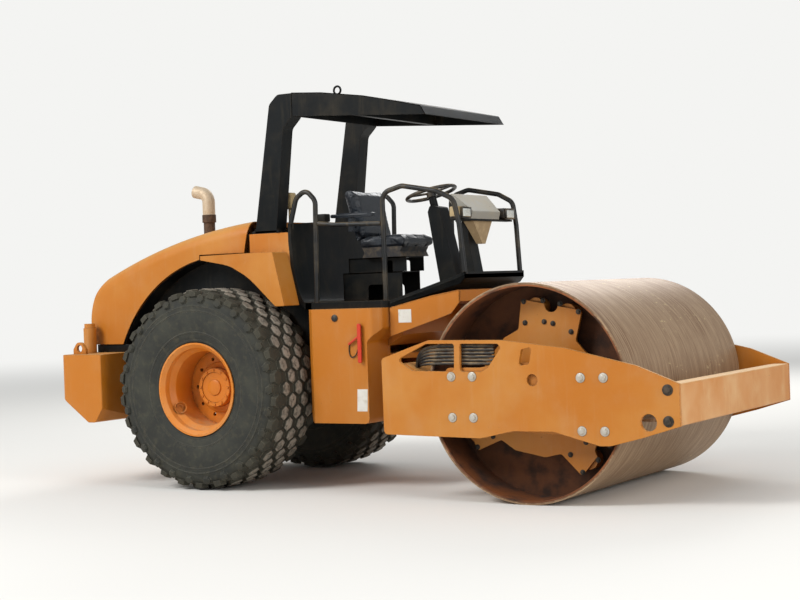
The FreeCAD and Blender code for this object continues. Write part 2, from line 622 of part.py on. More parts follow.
def wheel_arch():
    """Left wheel arch: curved liner under the hood's edge and the inner panel below it."""
    outer_r = ARCH_R - SEAM
    y0 = FRAME_HALF
    y1 = FLOOR_HALF - FACE_GAP
    ring = rod(V(ARCH_X, y0, ARCH_Z), V(ARCH_X, y1, ARCH_Z), outer_r)
    ring = ring.cut(rod(V(ARCH_X, y0 - 1, ARCH_Z), V(ARCH_X, y1 + 1, ARCH_Z), outer_r - SHEET))
    wall = rod(V(ARCH_X, y0, ARCH_Z), V(ARCH_X, y0 + SHEET, ARCH_Z), outer_r)
    low = FRAME_WAIST - 60
    above_weight = WEIGHT_TOP + FACE_GAP
    keep = slab_xz([(-1045, above_weight), (-1045, 1900), (690, 1900), (FLOOR_BACK - SEAM, 1395),
                    (FLOOR_BACK - SEAM, FLOOR_Z - SEAM), (TANK_BACK - SEAM, low + 80), (TANK_BACK - SEAM, low),
                    (WEIGHT_FRONT + SEAM, low), (WEIGHT_FRONT + SEAM, above_weight)], y0 - 1, y1 + 1)
    ring = ring.common(slab_xz([(-1110, 1112), (-1110, 1900), (690, 1900), (690, 1112)], y0 - 1, y1 + 1))
    return joined(ring, wall.common(keep))


def fender():
    """Left box fender ahead of and above the tyre."""
    plan = slab_xy([(FENDER_FRONT_X + 5, FLOOR_HALF), (FENDER_FRONT_X + 5, FENDER_OUT), (300, FENDER_OUT),
                    (-230, HOOD_HALF + 2), (-230, FLOOR_HALF)], 1300, FENDER_TOP)
    side = slab_xz([(-230, FENDER_TOP), (595, FENDER_TOP), (FENDER_FRONT_X, 1385), (612, 1384), (292, 1691),
                    (-230, 1757)], FLOOR_HALF, FENDER_OUT)
    return plan.common(side)


def rear_cowl():
    """Closed body behind the seat, under the canopy's feet, that ends the engine bay."""
    top = 1826
    side = [(HOOD_FRONT_X + SEAM + 8, FRAME_WAIST), (HOOD_FRONT_X + SEAM + 8, top), (640, top, 12), (691, 1542, 30),
            (FLOOR_BACK, 1400, 0), (FLOOR_BACK, FLOOR_Z, 0), (TANK_BACK, FLOOR_Z, 0), (TANK_BACK, FRAME_WAIST, 0)]
    body = slab_xz(side, -FLOOR_HALF, FLOOR_HALF)
    for y0, y1 in ((FRAME_HALF - PLATE, FLOOR_HALF + 1), (-FLOOR_HALF - 1, -FRAME_HALF + PLATE)):
        body = body.cut(rod(V(ARCH_X, y0, ARCH_Z), V(ARCH_X, y1, ARCH_Z), ARCH_R - SEAM))
        body = body.cut(block(FENDER_FRONT_X, TANK_BACK + 1, y0, y1, FRAME_WAIST - 1, FLOOR_Z))
    hinges = []
    for y in (-HINGE_Y, HINGE_Y):
        for y0 in (y - KNUCKLE_HALF - FACE_GAP - HINGE_LUG_T, y + KNUCKLE_HALF + FACE_GAP):
            lug = slab_xz([(HOOD_FRONT_X + SEAM + 8, top - 1), (HINGE_X - 2, HINGE_Z - 2), (HINGE_X + 14, HINGE_Z + 2),
                           (HINGE_X + 60, top - 1)], y0, y0 + HINGE_LUG_T)
            eye = rod(V(HINGE_X, y0, HINGE_Z), V(HINGE_X, y0 + HINGE_LUG_T, HINGE_Z), HINGE_EYE_R - 4)
            hinges.append(joined(lug, eye))
        reach = KNUCKLE_HALF + FACE_GAP + HINGE_LUG_T
        hinges.append(rod(V(HINGE_X, y - reach, HINGE_Z), V(HINGE_X, y + reach, HINGE_Z), HINGE_PIN_R))
    return joined(body, *hinges)


def canopy_post():
    """Left post of the canopy on its foot, with the arm under the roof."""
    foot = block(265, 528, 482, ROOF_HALF, 1826, 1950)
    side = [(311, 1950), (481, 2929, 60), (560, 3000, 60), (691, 3000), (691, 2824, 60), (605, 2740, 60), (509, 1950)]
    post = slab_xz(side, POST_Y - POST_W / 2, POST_Y + POST_W / 2)
    return joined(foot, post)


def canopy_roof():
    """Roof with its front visor and two lifting eyes."""
    side = [(691, 2824, 0), (691, 3004, 0), (961, 2982, 400), (1333, 2926, 400), (1822, 2813, 300),
            (2466, 2670, 0), (2450, 2652, 0), (1852, 2742, 60)]
    roof = slab_xz(side, -ROOF_HALF, ROOF_HALF)
    eyes = []
    for y in (-560, 560):
        ring = Part.makeTorus(30, 8, V(1077, y, 2990), V(0, 1, 0))
        stem = rod(V(1077, y, 2930), V(1077, y, 2964), 10)
        eyes.append(ring.fuse(stem))
    return joined(roof, *eyes)


def platform_floor():
    """Flat floor of the platform."""
    return slab_xy([(FLOOR_BACK, -FLOOR_HALF), (FLOOR_FRONT, -FLOOR_HALF, 60), (FLOOR_FRONT, FLOOR_HALF, 60),
                    (FLOOR_BACK, FLOOR_HALF)], FLOOR_Z, FLOOR_Z + FLOOR_T)


def from_floor(rows):
    """Corners whose first column is counted from the front edge of the floor."""
    return [(FLOOR_FRONT + row[0],) + tuple(row[1:]) for row in rows]


def platform_nose():
    """Raised foot tray ahead of the floor and the wedge of frame that carries it."""
    # Columns: distance ahead of the floor, height, corner radius
    tray = [(0, FLOOR_Z), (0, 1440), (199, 1505, 40), (472, 1580, 40), (620, 1577, 10), (545, 1550, 20),
            (306, 1445, 40)]
    wedge = [(194, 1154), (469, 1273, 20), (654, 1440, 20), (624, 1577), (545, 1550), (306, 1445), (0, FLOOR_Z)]
    upper = slab_xz(from_floor(tray), -470, 470)
    lower = slab_xz([(FRAME_FRONT, 1010)] + from_floor(wedge) + [(FRAME_FRONT, FLOOR_Z)], -FRAME_HALF, FRAME_HALF)
    return joined(upper, lower)


def seat_base():
    """Pedestal boxes under the seat."""
    low = block(FLOOR_BACK + 44, FLOOR_FRONT - 8, -250, 250, FLOOR_Z + FLOOR_T, 1590)
    high = block(FLOOR_BACK + 199, FLOOR_FRONT - 66, -230, 230, 1590, 1730)
    return joined(low, high)


def seat_parts():
    """Suspension, cushion, back and right armrest."""
    suspension = slab_xz([(1020, 1730), (1380, 1730), (1360, 1770, 8), (1380, 1808, 0), (1020, 1808, 0), (1040, 1770, 8)],
                         -200, 200)
    cushion = slab_xz([(1000, 1808, 10), (1000, 1880, 20), (1430, 1895, 30), (1430, 1808, 20)], -240, 240)
    back = slab_xz([(985, 1880 - 40, 20), (1055, 1880 - 40, 0), (960, 2270, 30), (860, 2270, 30)], -230, 230)
    back = back.cut(cushion)
    arm = joined(slab_xz([(870, 2045, 10), (870, 2080, 10), (1190, 2075, 10), (1190, 2045, 10)], -310, -265),
                 block(965, 1005, -300, -270, 1960, 2046), block(965, 1005, -300, -229, 1935, 1960))
    return suspension, cushion, back, arm.cut(back)


def wheel_axis():
    """Middle of the steering wheel and the way its shaft points up."""
    turn = math.radians(WHEEL_TILT)
    return V(WHEEL_X, 0, WHEEL_Z), V(-math.sin(turn), 0, math.cos(turn))


def steering_column():
    """Slanting steering column on the platform, below the wheel."""
    centre, axis = wheel_axis()
    side = [(144, 1440), (304, 1440), (144, 2095, 20), (64, 2110, 20), (44, 2060, 20)]
    body = slab_xz(from_floor(side), -70, 70)
    shaft = rod(centre - axis * 200, centre - axis * (WHEEL_HUB_DROP + FACE_GAP), 30)
    return joined(body, shaft).cut(platform_nose())


def steering_wheel():
    """Rim, three spokes and hub, tilted towards the seat."""
    centre, axis = wheel_axis()
    rim = Part.makeTorus(WHEEL_R, 14, centre, axis)
    hub = rod(centre - axis * WHEEL_HUB_DROP, centre + axis * 10, 38)
    parts = [rim, hub]
    across = V(0, 1, 0)
    ahead = across.cross(axis)
    for degrees in (90, 210, 330):
        angle = math.radians(degrees)
        way = ahead * math.sin(angle) + across * math.cos(angle)
        parts.append(rod(centre + way * 20, centre + way * (WHEEL_R - 4), 9))
    return joined(*parts)


def dash():
    """Sloping panel ahead of the wheel."""
    side = [(294, 2100, 10), (384, 2185, 10), (532, 2022, 10), (494, BAR_Z, 0), (404, BAR_Z, 10)]
    body = slab_xz(from_floor(side), -270, 270)
    plan = slab_xy(from_floor([(284, -250), (384, -272), (534, -200), (534, 200), (384, 272), (284, 250)]),
                   BAR_Z - 85, 2300)
    return body.common(plan)


def lamp_stand():
    """Stand on the foot tray with the bar that carries dash and lamps."""
    bar = block(FLOOR_FRONT + 464, FLOOR_FRONT + 500, -460, 460, BAR_Z - 35, BAR_Z)
    post = slab_xz(from_floor([(339, 1500), (479, 1500), (489, BAR_Z - 25), (354, BAR_Z - 25)]), -120, 120)
    return joined(bar, post).cut(platform_nose())


def lamps():
    """Two work lamps at the ends of the bar."""
    lamp = slab_yz([(300, BAR_Z, 15), (420, BAR_Z, 15), (420, BAR_Z + 85, 15), (300, BAR_Z + 85, 15)],
                   FLOOR_FRONT + 434, FLOOR_FRONT + 534)
    return both(lamp)


def rear_rails():
    """Left hoop beside the seat."""
    foot = HOOP_FOOT_X
    y = HOOP_Y
    hoop = bent_tube([V(foot - 226, y, 1800), V(foot - 213, y, 2020), V(foot - 159, y, 2200), V(foot - 68, y, 2262),
                      V(foot + 17, y, 2175), V(foot, y, FLOOR_Z + FLOOR_T - SEAM)], RAIL_R, RAIL_BEND)
    return hoop.cut(rear_cowl()).cut(platform_floor())


def front_rail():
    """Left rail along the platform's front."""
    # Columns: distance ahead of the post, distance inside it, height
    route = [(0, 0, FLOOR_Z + FLOOR_T), (0, 0, 2200), (164, 10, 2244), (442, 30, 2192), (575, 50, 2125),
             (608, 65, 1943), (635, 80, 1566)]
    rail = bent_tube([V(POST_FOOT_X + x, RAIL_POST_Y - y, z) for x, y, z in route], RAIL_R, RAIL_BEND)
    return rail.cut(platform_nose())


def side_bar():
    """Bar that closes the right side between hoop and front rail."""
    start = HOOP_FOOT_X + 13 + RAIL_R + 2
    end = POST_FOOT_X - RAIL_R - 3
    return bent_tube([V(start, -HOOP_Y, 2000), V(start + 138, -HOOP_Y + 6, BAR_Z), V(end, -RAIL_POST_Y, BAR_Z - 10)],
                     BAR_R, RAIL_BEND)


def counterweight():
    """Cast weight across the rear, with its lifting lugs."""
    side = [(REAR_END, 750, 30), (REAR_END, WEIGHT_TOP, 30), (FRAME_BACK, WEIGHT_TOP, 0), (FRAME_BACK, WEIGHT_LOW, 0),
            (-1071, WEIGHT_LOW, 30)]
    middle = slab_xz(side, -700, 700)
    wing_plan = slab_xy([(REAR_END, -WEIGHT_HALF + 120, 60), (REAR_END + 80, -WEIGHT_HALF, 60),
                         (WEIGHT_FRONT, -WEIGHT_HALF, 10), (FRAME_BACK, -FRAME_HALF), (FRAME_BACK, FRAME_HALF),
                         (WEIGHT_FRONT, WEIGHT_HALF, 10), (REAR_END + 80, WEIGHT_HALF, 60),
                         (REAR_END, WEIGHT_HALF - 120, 60)], WEIGHT_LOW, WEIGHT_TOP)
    side_all = [(REAR_END, 750, 30), (REAR_END, WEIGHT_TOP, 30), (WEIGHT_FRONT, WEIGHT_TOP, 10),
                (WEIGHT_FRONT, 620, 60), (-1000, WEIGHT_LOW, 30), (-1071, WEIGHT_LOW, 30)]
    body = slab_xz(side_all, -WEIGHT_HALF, WEIGHT_HALF).common(wing_plan)
    body = joined(body, middle.common(wing_plan))
    lug = slab_xz([(-1330, WEIGHT_TOP - 40), (-1330, WEIGHT_TOP + 40, 20), (-1290, WEIGHT_TOP + 95, 40),
                   (-1240, WEIGHT_TOP + 95, 40), (-1200, WEIGHT_TOP + 40, 20), (-1200, WEIGHT_TOP - 40)], 885, 885 + PLATE)
    lug = lug.cut(Part.makeCylinder(28, 2 * PLATE, V(-1265, 885 - SEAM, WEIGHT_TOP + 45), V(0, 1, 0)))
    return joined(body, lug, mirrored(lug))


def filler_neck():
    """Upright filler neck with its cap on the counterweight's right."""
    base = V(-1330, -705, WEIGHT_TOP)
    return joined(rod(base, base + V(0, 0, 205), 52), rod(base + V(0, 0, 205), base + V(0, 0, 240), 44))


def lock_bar():
    """Steering lock bar stowed on the right tank, on two pins."""
    y = -TANK_OUT
    middle = FRAME_FRONT - 50
    bar = slab_xz([(middle - 15, 950, 14), (middle + 15, 950, 14), (middle + 15, 1240, 14), (middle - 15, 1240, 14)],
                  y - 30, y - 18)
    pins = [rod(V(middle, y - 30, z), V(middle, y, z), 9) for z in (1160, 1215)]
    return joined(bar, *pins)


def side_steps():
    """Step irons on the left tank, below the way onto the platform."""
    steps = []
    for z in (620, 900, 1160):
        iron = [V(STEP_BACK, TANK_OUT, z), V(STEP_BACK, TANK_OUT + STEP_DEPTH, z),
                V(STEP_BACK + STEP_WIDTH, TANK_OUT + STEP_DEPTH, z), V(STEP_BACK + STEP_WIDTH, TANK_OUT, z)]
        steps.append(bent_tube(iron, 14, 40))
    return Part.makeCompound(steps)


def scrapers():
    """Blades that clean the drum, on arms from the two beams."""
    gap = SEAM
    ahead = slab_xz([(FRONT_END - BEAM_DEPTH, BEAM_LOW + 20), (FRONT_END - BEAM_DEPTH, BEAM_LOW + 45),
                     (WHEELBASE + DRUM_R - 15 + gap, BEAM_LOW + 30), (WHEELBASE + DRUM_R - 15 + gap, BEAM_LOW + 20)],
                    -DRUM_HALF + 40, DRUM_HALF - 40)
    back_x = REAR_BEAM_BACK + REAR_BEAM_DEPTH
    behind = slab_xz([(back_x, REAR_BEAM_LOW + 65), (back_x, REAR_BEAM_LOW + 90),
                      (WHEELBASE - DRUM_R + 15 - gap, REAR_BEAM_LOW + 75), (WHEELBASE - DRUM_R + 15 - gap, REAR_BEAM_LOW + 65)],
                     -DRUM_HALF + 40, DRUM_HALF - 40)
    return Part.makeCompound([ahead, behind])


def sides(name, left):
    """The left piece and its mirror image under their own names."""
    return {name + "_left": left, name + "_right": mirrored(left)}


def build():
    """Every piece by its name."""
    front_beam, rear_beam = yoke_beams()
    suspension, cushion, back, arm = seat_parts()
    pieces = {
        "drum_shell": drum_shell(),
        "yoke_front_beam": front_beam,
        "yoke_rear_beam": rear_beam,
        "drum_scrapers": scrapers(),
        "hitch": hitch(),
        "pivot_pin": pivot_pin(),
        "main_frame": main_frame(),
        "rear_axle": rear_axle(),
        "engine": engine(),
        "hood": hood(),
        "exhaust": exhaust(),
        "rear_cowl": rear_cowl(),
        "canopy_roof": canopy_roof(),
        "platform_floor": platform_floor(),
        "platform_nose": platform_nose(),
        "seat_base": seat_base(),
        "seat_suspension": suspension,
        "seat_cushion": cushion,
        "seat_back": back,
        "seat_armrest": arm,
        "steering_column": steering_column(),
        "steering_wheel": steering_wheel(),
        "dash_panel": dash(),
        "lamp_stand": lamp_stand(),
        "work_lamps": lamps(),
        "side_bar": side_bar(),
        "counterweight": counterweight(),
        "filler_neck": filler_neck(),
        "lock_bar": lock_bar(),
        "side_steps": side_steps(),
    }
    for name, left in (("drive_plate", drive_plate()), ("drum_motor", drum_motor()), ("yoke_plate", yoke_plate()),
                       ("steering_barrel", steering_barrel()), ("steering_rod", steering_rod()),
                       ("side_tank", side_tank()), ("wheel_rim", wheel_rim()), ("tyre", tyre()),
                       ("wheel_arch", wheel_arch()), ("fender", fender()), ("canopy_post", canopy_post()),
                       ("rear_hoop", rear_rails()), ("front_rail", front_rail())):
        pieces.update(sides(name, left))
    return pieces


def main():
    """Write one file for each piece."""
    os.makedirs("parts", exist_ok=True)
    for name, shape in build().items():
        moved = shape.copy()
        moved.translate(V(-MIDDLE_X, 0, 0))
        if not moved.isValid():
            print("not valid:", name)
        print(name, len(moved.Solids), round(moved.Volume / 1e6, 2))
        moved.exportStep(os.path.join("parts", name + ".step"))


main()
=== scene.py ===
"""Looks of an articulated soil compactor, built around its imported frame.

Lengths are metres in the frame's own axes: x forward, y to the machine's left, z up. A place
that reads best from the rear axle goes through at(), in millimetres.
"""

import json
import logging
import math
from collections.abc import Callable, Sequence
from dataclasses import dataclass
from enum import Enum

import bmesh
import bpy
from mathutils import Matrix, Vector, noise


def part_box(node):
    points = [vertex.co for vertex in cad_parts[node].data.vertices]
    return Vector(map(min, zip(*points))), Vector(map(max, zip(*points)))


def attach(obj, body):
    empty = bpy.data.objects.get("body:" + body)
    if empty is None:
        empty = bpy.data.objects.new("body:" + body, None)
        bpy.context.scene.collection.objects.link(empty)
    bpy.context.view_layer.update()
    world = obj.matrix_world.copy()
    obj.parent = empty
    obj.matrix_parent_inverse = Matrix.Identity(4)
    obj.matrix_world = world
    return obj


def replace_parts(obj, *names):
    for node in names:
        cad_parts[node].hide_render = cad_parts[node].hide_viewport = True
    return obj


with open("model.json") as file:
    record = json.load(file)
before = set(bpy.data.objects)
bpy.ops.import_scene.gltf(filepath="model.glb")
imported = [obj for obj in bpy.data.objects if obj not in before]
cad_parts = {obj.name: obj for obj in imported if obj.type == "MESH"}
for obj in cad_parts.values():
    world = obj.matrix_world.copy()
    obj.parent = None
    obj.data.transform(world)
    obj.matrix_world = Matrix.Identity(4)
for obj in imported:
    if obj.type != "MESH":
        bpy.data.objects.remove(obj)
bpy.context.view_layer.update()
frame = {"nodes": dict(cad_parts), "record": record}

log = logging.getLogger("compactor")

MM = 0.001
REAR_AXLE_X = -1.270
WHEELBASE = 2820.0
DRUM_R = 0.75
TYRE_R = 0.77
YOKE_FACE_Y = 1105.0


class Side(Enum):
    """Side of the machine, with its sign along y."""

    LEFT = 1
    RIGHT = -1

    @property
    def word(self) -> str:
        """Ending of the names of this side's nodes."""
        return self.name.lower()


def at(x: float, y: float, z: float) -> Vector:
    """Give a point of the frame.

    Args:
        x: Millimetres ahead of the rear axle.
        y: Millimetres left of the machine's middle.
        z: Millimetres above the ground.

    Returns:
        The point in metres.
    """
    return Vector((REAR_AXLE_X + x * MM, y * MM, z * MM))


def linear(code: str) -> tuple[float, float, float, float]:
    """Turn an sRGB colour such as "D98B35" into linear red, green, blue and alpha."""
    parts = [int(code[index:index + 2], 16) / 255 for index in (0, 2, 4)]
    red, green, blue = [p / 12.92 if p <= 0.04045 else ((p + 0.055) / 1.055) ** 2.4 for p in parts]
    return red, green, blue, 1.0


class Recipe:
    """Node tree of one finish while it is put together."""

    def __init__(self, name: str) -> None:
        """Start a tree that reads the piece's own coordinates."""
        self.material = bpy.data.materials.new(name)
        self.material.use_nodes = True
        self.tree = self.material.node_tree
        self.tree.nodes.clear()
        self.place = self.add("ShaderNodeTexCoord").outputs["Object"]

    def add(self, kind: str, settings: dict | None = None, inputs: dict | None = None) -> bpy.types.Node:
        """Add a node.

        Args:
            kind: Blender's name of the node.
            settings: Property values by name.
            inputs: Sockets to link or plain values, by the input's name or number.

        Returns:
            The new node.
        """
        made = self.tree.nodes.new(kind)
        for name, value in (settings or {}).items():
            setattr(made, name, value)
        for key, value in (inputs or {}).items():
            if isinstance(value, bpy.types.NodeSocket):
                self.tree.links.new(value, made.inputs[key])
            else:
                made.inputs[key].default_value = value
        return made

    def between(self, value: bpy.types.NodeSocket, start: float, end: float) -> bpy.types.NodeSocket:
        """Ease a value from 0 at start to 1 at end."""
        made = self.add("ShaderNodeMapRange", {"interpolation_type": "SMOOTHSTEP"},
                        {"Value": value, "From Min": start, "From Max": end})
        return made.outputs[0]

    def patches(self, size_mm: float, start: float, end: float, stretch: tuple = (1.0, 1.0, 1.0),
                detail: float = 4.0, place: bpy.types.NodeSocket | None = None) -> bpy.types.NodeSocket:
        """Cover the piece with blotches.

        Args:
            size_mm: Size of a blotch.
            start: Noise value below which there is none.
            end: Noise value above which it covers fully.
            stretch: Scale along each axis, less than 1 for a longer blotch.
            detail: Finer noise inside a blotch.
            place: Coordinates, or None for the piece's own.

        Returns:
            A mask from 0 to 1.
        """
        mapped = self.add("ShaderNodeMapping", None, {"Vector": place or self.place, "Scale": stretch})
        made = self.add("ShaderNodeTexNoise", None, {"Vector": mapped.outputs[0], "Scale": 1 / (size_mm * MM),
                                                     "Detail": detail, "Roughness": 0.6})
        return self.between(made.outputs[0], start, end)

    def both(self, first: bpy.types.NodeSocket, second: bpy.types.NodeSocket | float,
             way: str = "MULTIPLY") -> bpy.types.NodeSocket:
        """Combine two masks, or a mask and a share."""
        return self.add("ShaderNodeMath", {"operation": way, "use_clamp": True}, {0: first, 1: second}).outputs[0]

    def facing_up(self, start: float, end: float) -> bpy.types.NodeSocket:
        """Mask the faces that look at the sky."""
        normal = self.add("ShaderNodeNewGeometry").outputs["Normal"]
        split = self.add("ShaderNodeSeparateXYZ", None, {0: normal})
        return self.between(split.outputs["Z"], start, end)

    def height(self, start: float, end: float) -> bpy.types.NodeSocket:
        """Mask by height above the ground, from 0 at start to 1 at end."""
        split = self.add("ShaderNodeSeparateXYZ", None, {0: self.place})
        return self.between(split.outputs["Z"], start, end)

    def rounded(self, radius_mm: float) -> bpy.types.NodeSocket:
        """Give the normal of the surface with its sharp edges rounded off."""
        return self.add("ShaderNodeBevel", {"samples": 4}, {"Radius": radius_mm * MM}).outputs[0]

    def worn_edges(self, rounded: bpy.types.NodeSocket, start: float, end: float) -> bpy.types.NodeSocket:
        """Mask the edges where the rounded normal leaves the flat one."""
        normal = self.add("ShaderNodeNewGeometry").outputs["Normal"]
        dot = self.add("ShaderNodeVectorMath", {"operation": "DOT_PRODUCT"}, {0: rounded, 1: normal})
        return self.between(dot.outputs["Value"], start, end)

    def hollows(self, reach: float, start: float, end: float) -> bpy.types.NodeSocket:
        """Mask the occluded corners, where dirt and rust stay on the enamel and where shade is painted on the drum,
        the tyre and the vinyl.
        """
        made = self.add("ShaderNodeAmbientOcclusion", {"samples": 6}, {"Distance": reach})
        return self.between(made.outputs["AO"], start, end)

    def coats(self, colour: str, roughness: float,
              layers: Sequence[tuple]) -> tuple[bpy.types.NodeSocket, bpy.types.NodeSocket]:
        """Lay coats over a ground.

        Args:
            colour: Colour of the ground.
            roughness: Roughness of the ground.
            layers: Colour, roughness and mask of each coat, the lowest first.

        Returns:
            Sockets with the colour and the roughness.
        """
        top_colour = linear(colour)
        top_roughness = roughness
        for code, rough, mask in layers:
            top_colour = self.add("ShaderNodeMix", {"data_type": "RGBA"},
                                  {0: mask, 6: top_colour, 7: linear(code)}).outputs[2]
            top_roughness = self.add("ShaderNodeMix", None, {0: mask, 2: top_roughness, 3: rough}).outputs[0]
        return top_colour, top_roughness

    def bump(self, height: bpy.types.NodeSocket, depth_mm: float,
             normal: bpy.types.NodeSocket | None = None) -> bpy.types.NodeSocket:
        """Raise the surface by a mask, depth_mm at its full value."""
        feeds = {"Height": height, "Distance": depth_mm * MM}
        if normal:
            feeds["Normal"] = normal
        return self.add("ShaderNodeBump", None, feeds).outputs[0]

    def done(self, **sockets: object) -> bpy.types.Material:
        """Close the tree with a surface shader; sockets are its inputs, with _ for a space."""
        shader = self.add("ShaderNodeBsdfPrincipled", None,
                          {name.replace("_", " "): value for name, value in sockets.items()})
        self.add("ShaderNodeOutputMaterial", None, {"Surface": shader.outputs[0]})
        return self.material


@dataclass(frozen=True)
class Enamel:
    """Sprayed machine enamel: satin colour that fades to chalk in the sun and holds site dust, with a painted
    highlight that makes faces that look up paler.
    """

    name: str
    fresh: str
    faded: str
    dust: str = "BE9E74"
    bare: str = "4A2C18"
    roughness: float = 0.42
    edge_mm: float = 4.0
    dusting: float = 0.5
    chips: float = 0.5
    sheen: float = 0.4

    def material(self) -> bpy.types.Material:
        """Build the enamel: faded patches, a painted highlight on faces that look up, rain runs, dust, and chips that
        show rust at the edges.
        """
        recipe = Recipe(self.name)
        rounded = recipe.rounded(self.edge_mm)
        fading = recipe.both(recipe.patches(900, 0.40, 0.75), 0.6)
        # Painted highlight: faces that look up turn paler as if lit from above, together with fading in the sun.
        sky = recipe.both(recipe.facing_up(0.30, 0.95), 0.8)
        film = recipe.patches(240, 0.42, 0.85, detail=8.0)
        thin = recipe.both(film, 0.7 * self.dusting)
        runs = recipe.both(recipe.patches(45, 0.52, 0.80, (1.0, 1.0, 0.10)), 0.45 * self.dusting)
        settled = recipe.both(recipe.both(recipe.facing_up(0.6, 0.98), recipe.patches(70, 0.30, 0.62)),
                              min(1.0, 1.4 * self.dusting))
        corners = recipe.both(recipe.both(recipe.hollows(0.09, 0.70, 0.35), recipe.patches(40, 0.25, 0.6)), 0.6)
        ragged = recipe.patches(16, 0.52 - 0.1 * self.chips, 0.58 - 0.1 * self.chips)
        edges = recipe.both(recipe.worn_edges(rounded, 0.985, 0.90), ragged)
        nicks = recipe.patches(30, 0.745 - 0.05 * self.chips, 0.765 - 0.05 * self.chips, detail=7.0)
        bare = recipe.both(edges, nicks, "MAXIMUM")
        colour, rough = recipe.coats(self.fresh, self.roughness, (
            (self.faded, self.roughness + 0.15, fading), (self.faded, self.roughness + 0.2, sky),
            (self.dust, 0.85, thin), (self.dust, 0.9, runs), (self.dust, 0.9, settled),
            (self.bare, 0.85, corners), (self.bare, 0.8, bare)))
        peel = recipe.patches(9, 0.3, 0.7, detail=2.0)
        normal = recipe.bump(bare, -0.5, recipe.bump(peel, 0.06, rounded))
        return recipe.done(Base_Color=colour, Roughness=rough, Normal=normal, Specular_IOR_Level=self.sheen)


@dataclass(frozen=True)
class RolledSteel:
    """Rolled drum shell: brown rust film, streaked round the drum and scuffed by gravel, painted inside, with painted
    shade darkening the inside deep in the drum.
    """

    name: str
    axle: Vector
    skin: float

    def material(self) -> bpy.types.Material:
        """Build the steel from coordinates that run round the drum."""
        recipe = Recipe(self.name)
        moved = recipe.add("ShaderNodeVectorMath", {"operation": "SUBTRACT"}, {0: recipe.place, 1: self.axle})
        split = recipe.add("ShaderNodeSeparateXYZ", None, {0: moved.outputs[0]})
        flat = recipe.add("ShaderNodeCombineXYZ", None, {"X": split.outputs["X"], "Z": split.outputs["Z"]})
        radius = recipe.add("ShaderNodeVectorMath", {"operation": "LENGTH"}, {0: flat.outputs[0]})
        angle = recipe.add("ShaderNodeMath", {"operation": "ARCTAN2"},
                           {0: split.outputs["X"], 1: split.outputs["Z"]})
        arc = recipe.add("ShaderNodeMath", {"operation": "MULTIPLY"}, {0: angle.outputs[0], 1: self.skin})
        wrapped = recipe.add("ShaderNodeCombineXYZ", None,
                             {"X": arc.outputs[0], "Y": split.outputs["Y"], "Z": radius.outputs["Value"]}).outputs[0]
        streaks = recipe.patches(14, 0.38, 0.66, (0.05, 1.0, 1.0), place=wrapped)
        fine = recipe.patches(4, 0.35, 0.70, (0.03, 1.0, 1.0), detail=2.0, place=wrapped)
        clouds = recipe.patches(420, 0.35, 0.75, (0.6, 1.0, 1.0), detail=7.0, place=wrapped)
        scuffs = recipe.both(recipe.patches(22, 0.60, 0.66, (0.7, 0.35, 1.0), 7.0, wrapped),
                             recipe.patches(300, 0.50, 0.60, (1.0, 0.35, 1.0), 2.0, wrapped))
        pits = recipe.patches(7, 0.62, 0.72, detail=5.0, place=wrapped)
        inside = recipe.between(radius.outputs["Value"], self.skin - 0.012, self.skin - 0.016)
        edge_dirt = recipe.both(recipe.between(radius.outputs["Value"], self.skin - 0.004, self.skin - 0.008),
                                recipe.patches(30, 0.3, 0.6, place=wrapped))
        damp = recipe.patches(160, 0.40, 0.70, detail=8.0)
        # Painted shade: the inside of the drum goes near black where it is deep and hemmed in.
        painted_shade_deep = recipe.hollows(0.5, 0.95, 0.45)
        colour, rough = recipe.coats("9C8062", 0.52, (
            ("7A5A3E", 0.62, clouds), ("B39776", 0.48, streaks), ("7E6146", 0.58, recipe.both(fine, 0.5)),
            ("C9B48C", 0.75, recipe.both(scuffs, 0.8)), ("5B3E2C", 0.7, recipe.both(pits, 0.6)),
            ("5A3F2A", 0.8, recipe.both(edge_dirt, 0.7)), ("8E4F1E", 0.6, inside),
            ("43291A", 0.85, recipe.both(inside, damp)), ("1E120A", 0.9, recipe.both(recipe.both(inside, painted_shade_deep), 0.7))))
        metal = recipe.both(recipe.add("ShaderNodeMath", {"operation": "SUBTRACT", "use_clamp": True},
                                       {0: 1.0, 1: inside}).outputs[0], 0.35)
        normal = recipe.bump(streaks, 0.25, recipe.bump(pits, -0.4, recipe.rounded(3.0)))
        return recipe.done(Base_Color=colour, Roughness=rough, Metallic=metal, Normal=normal)


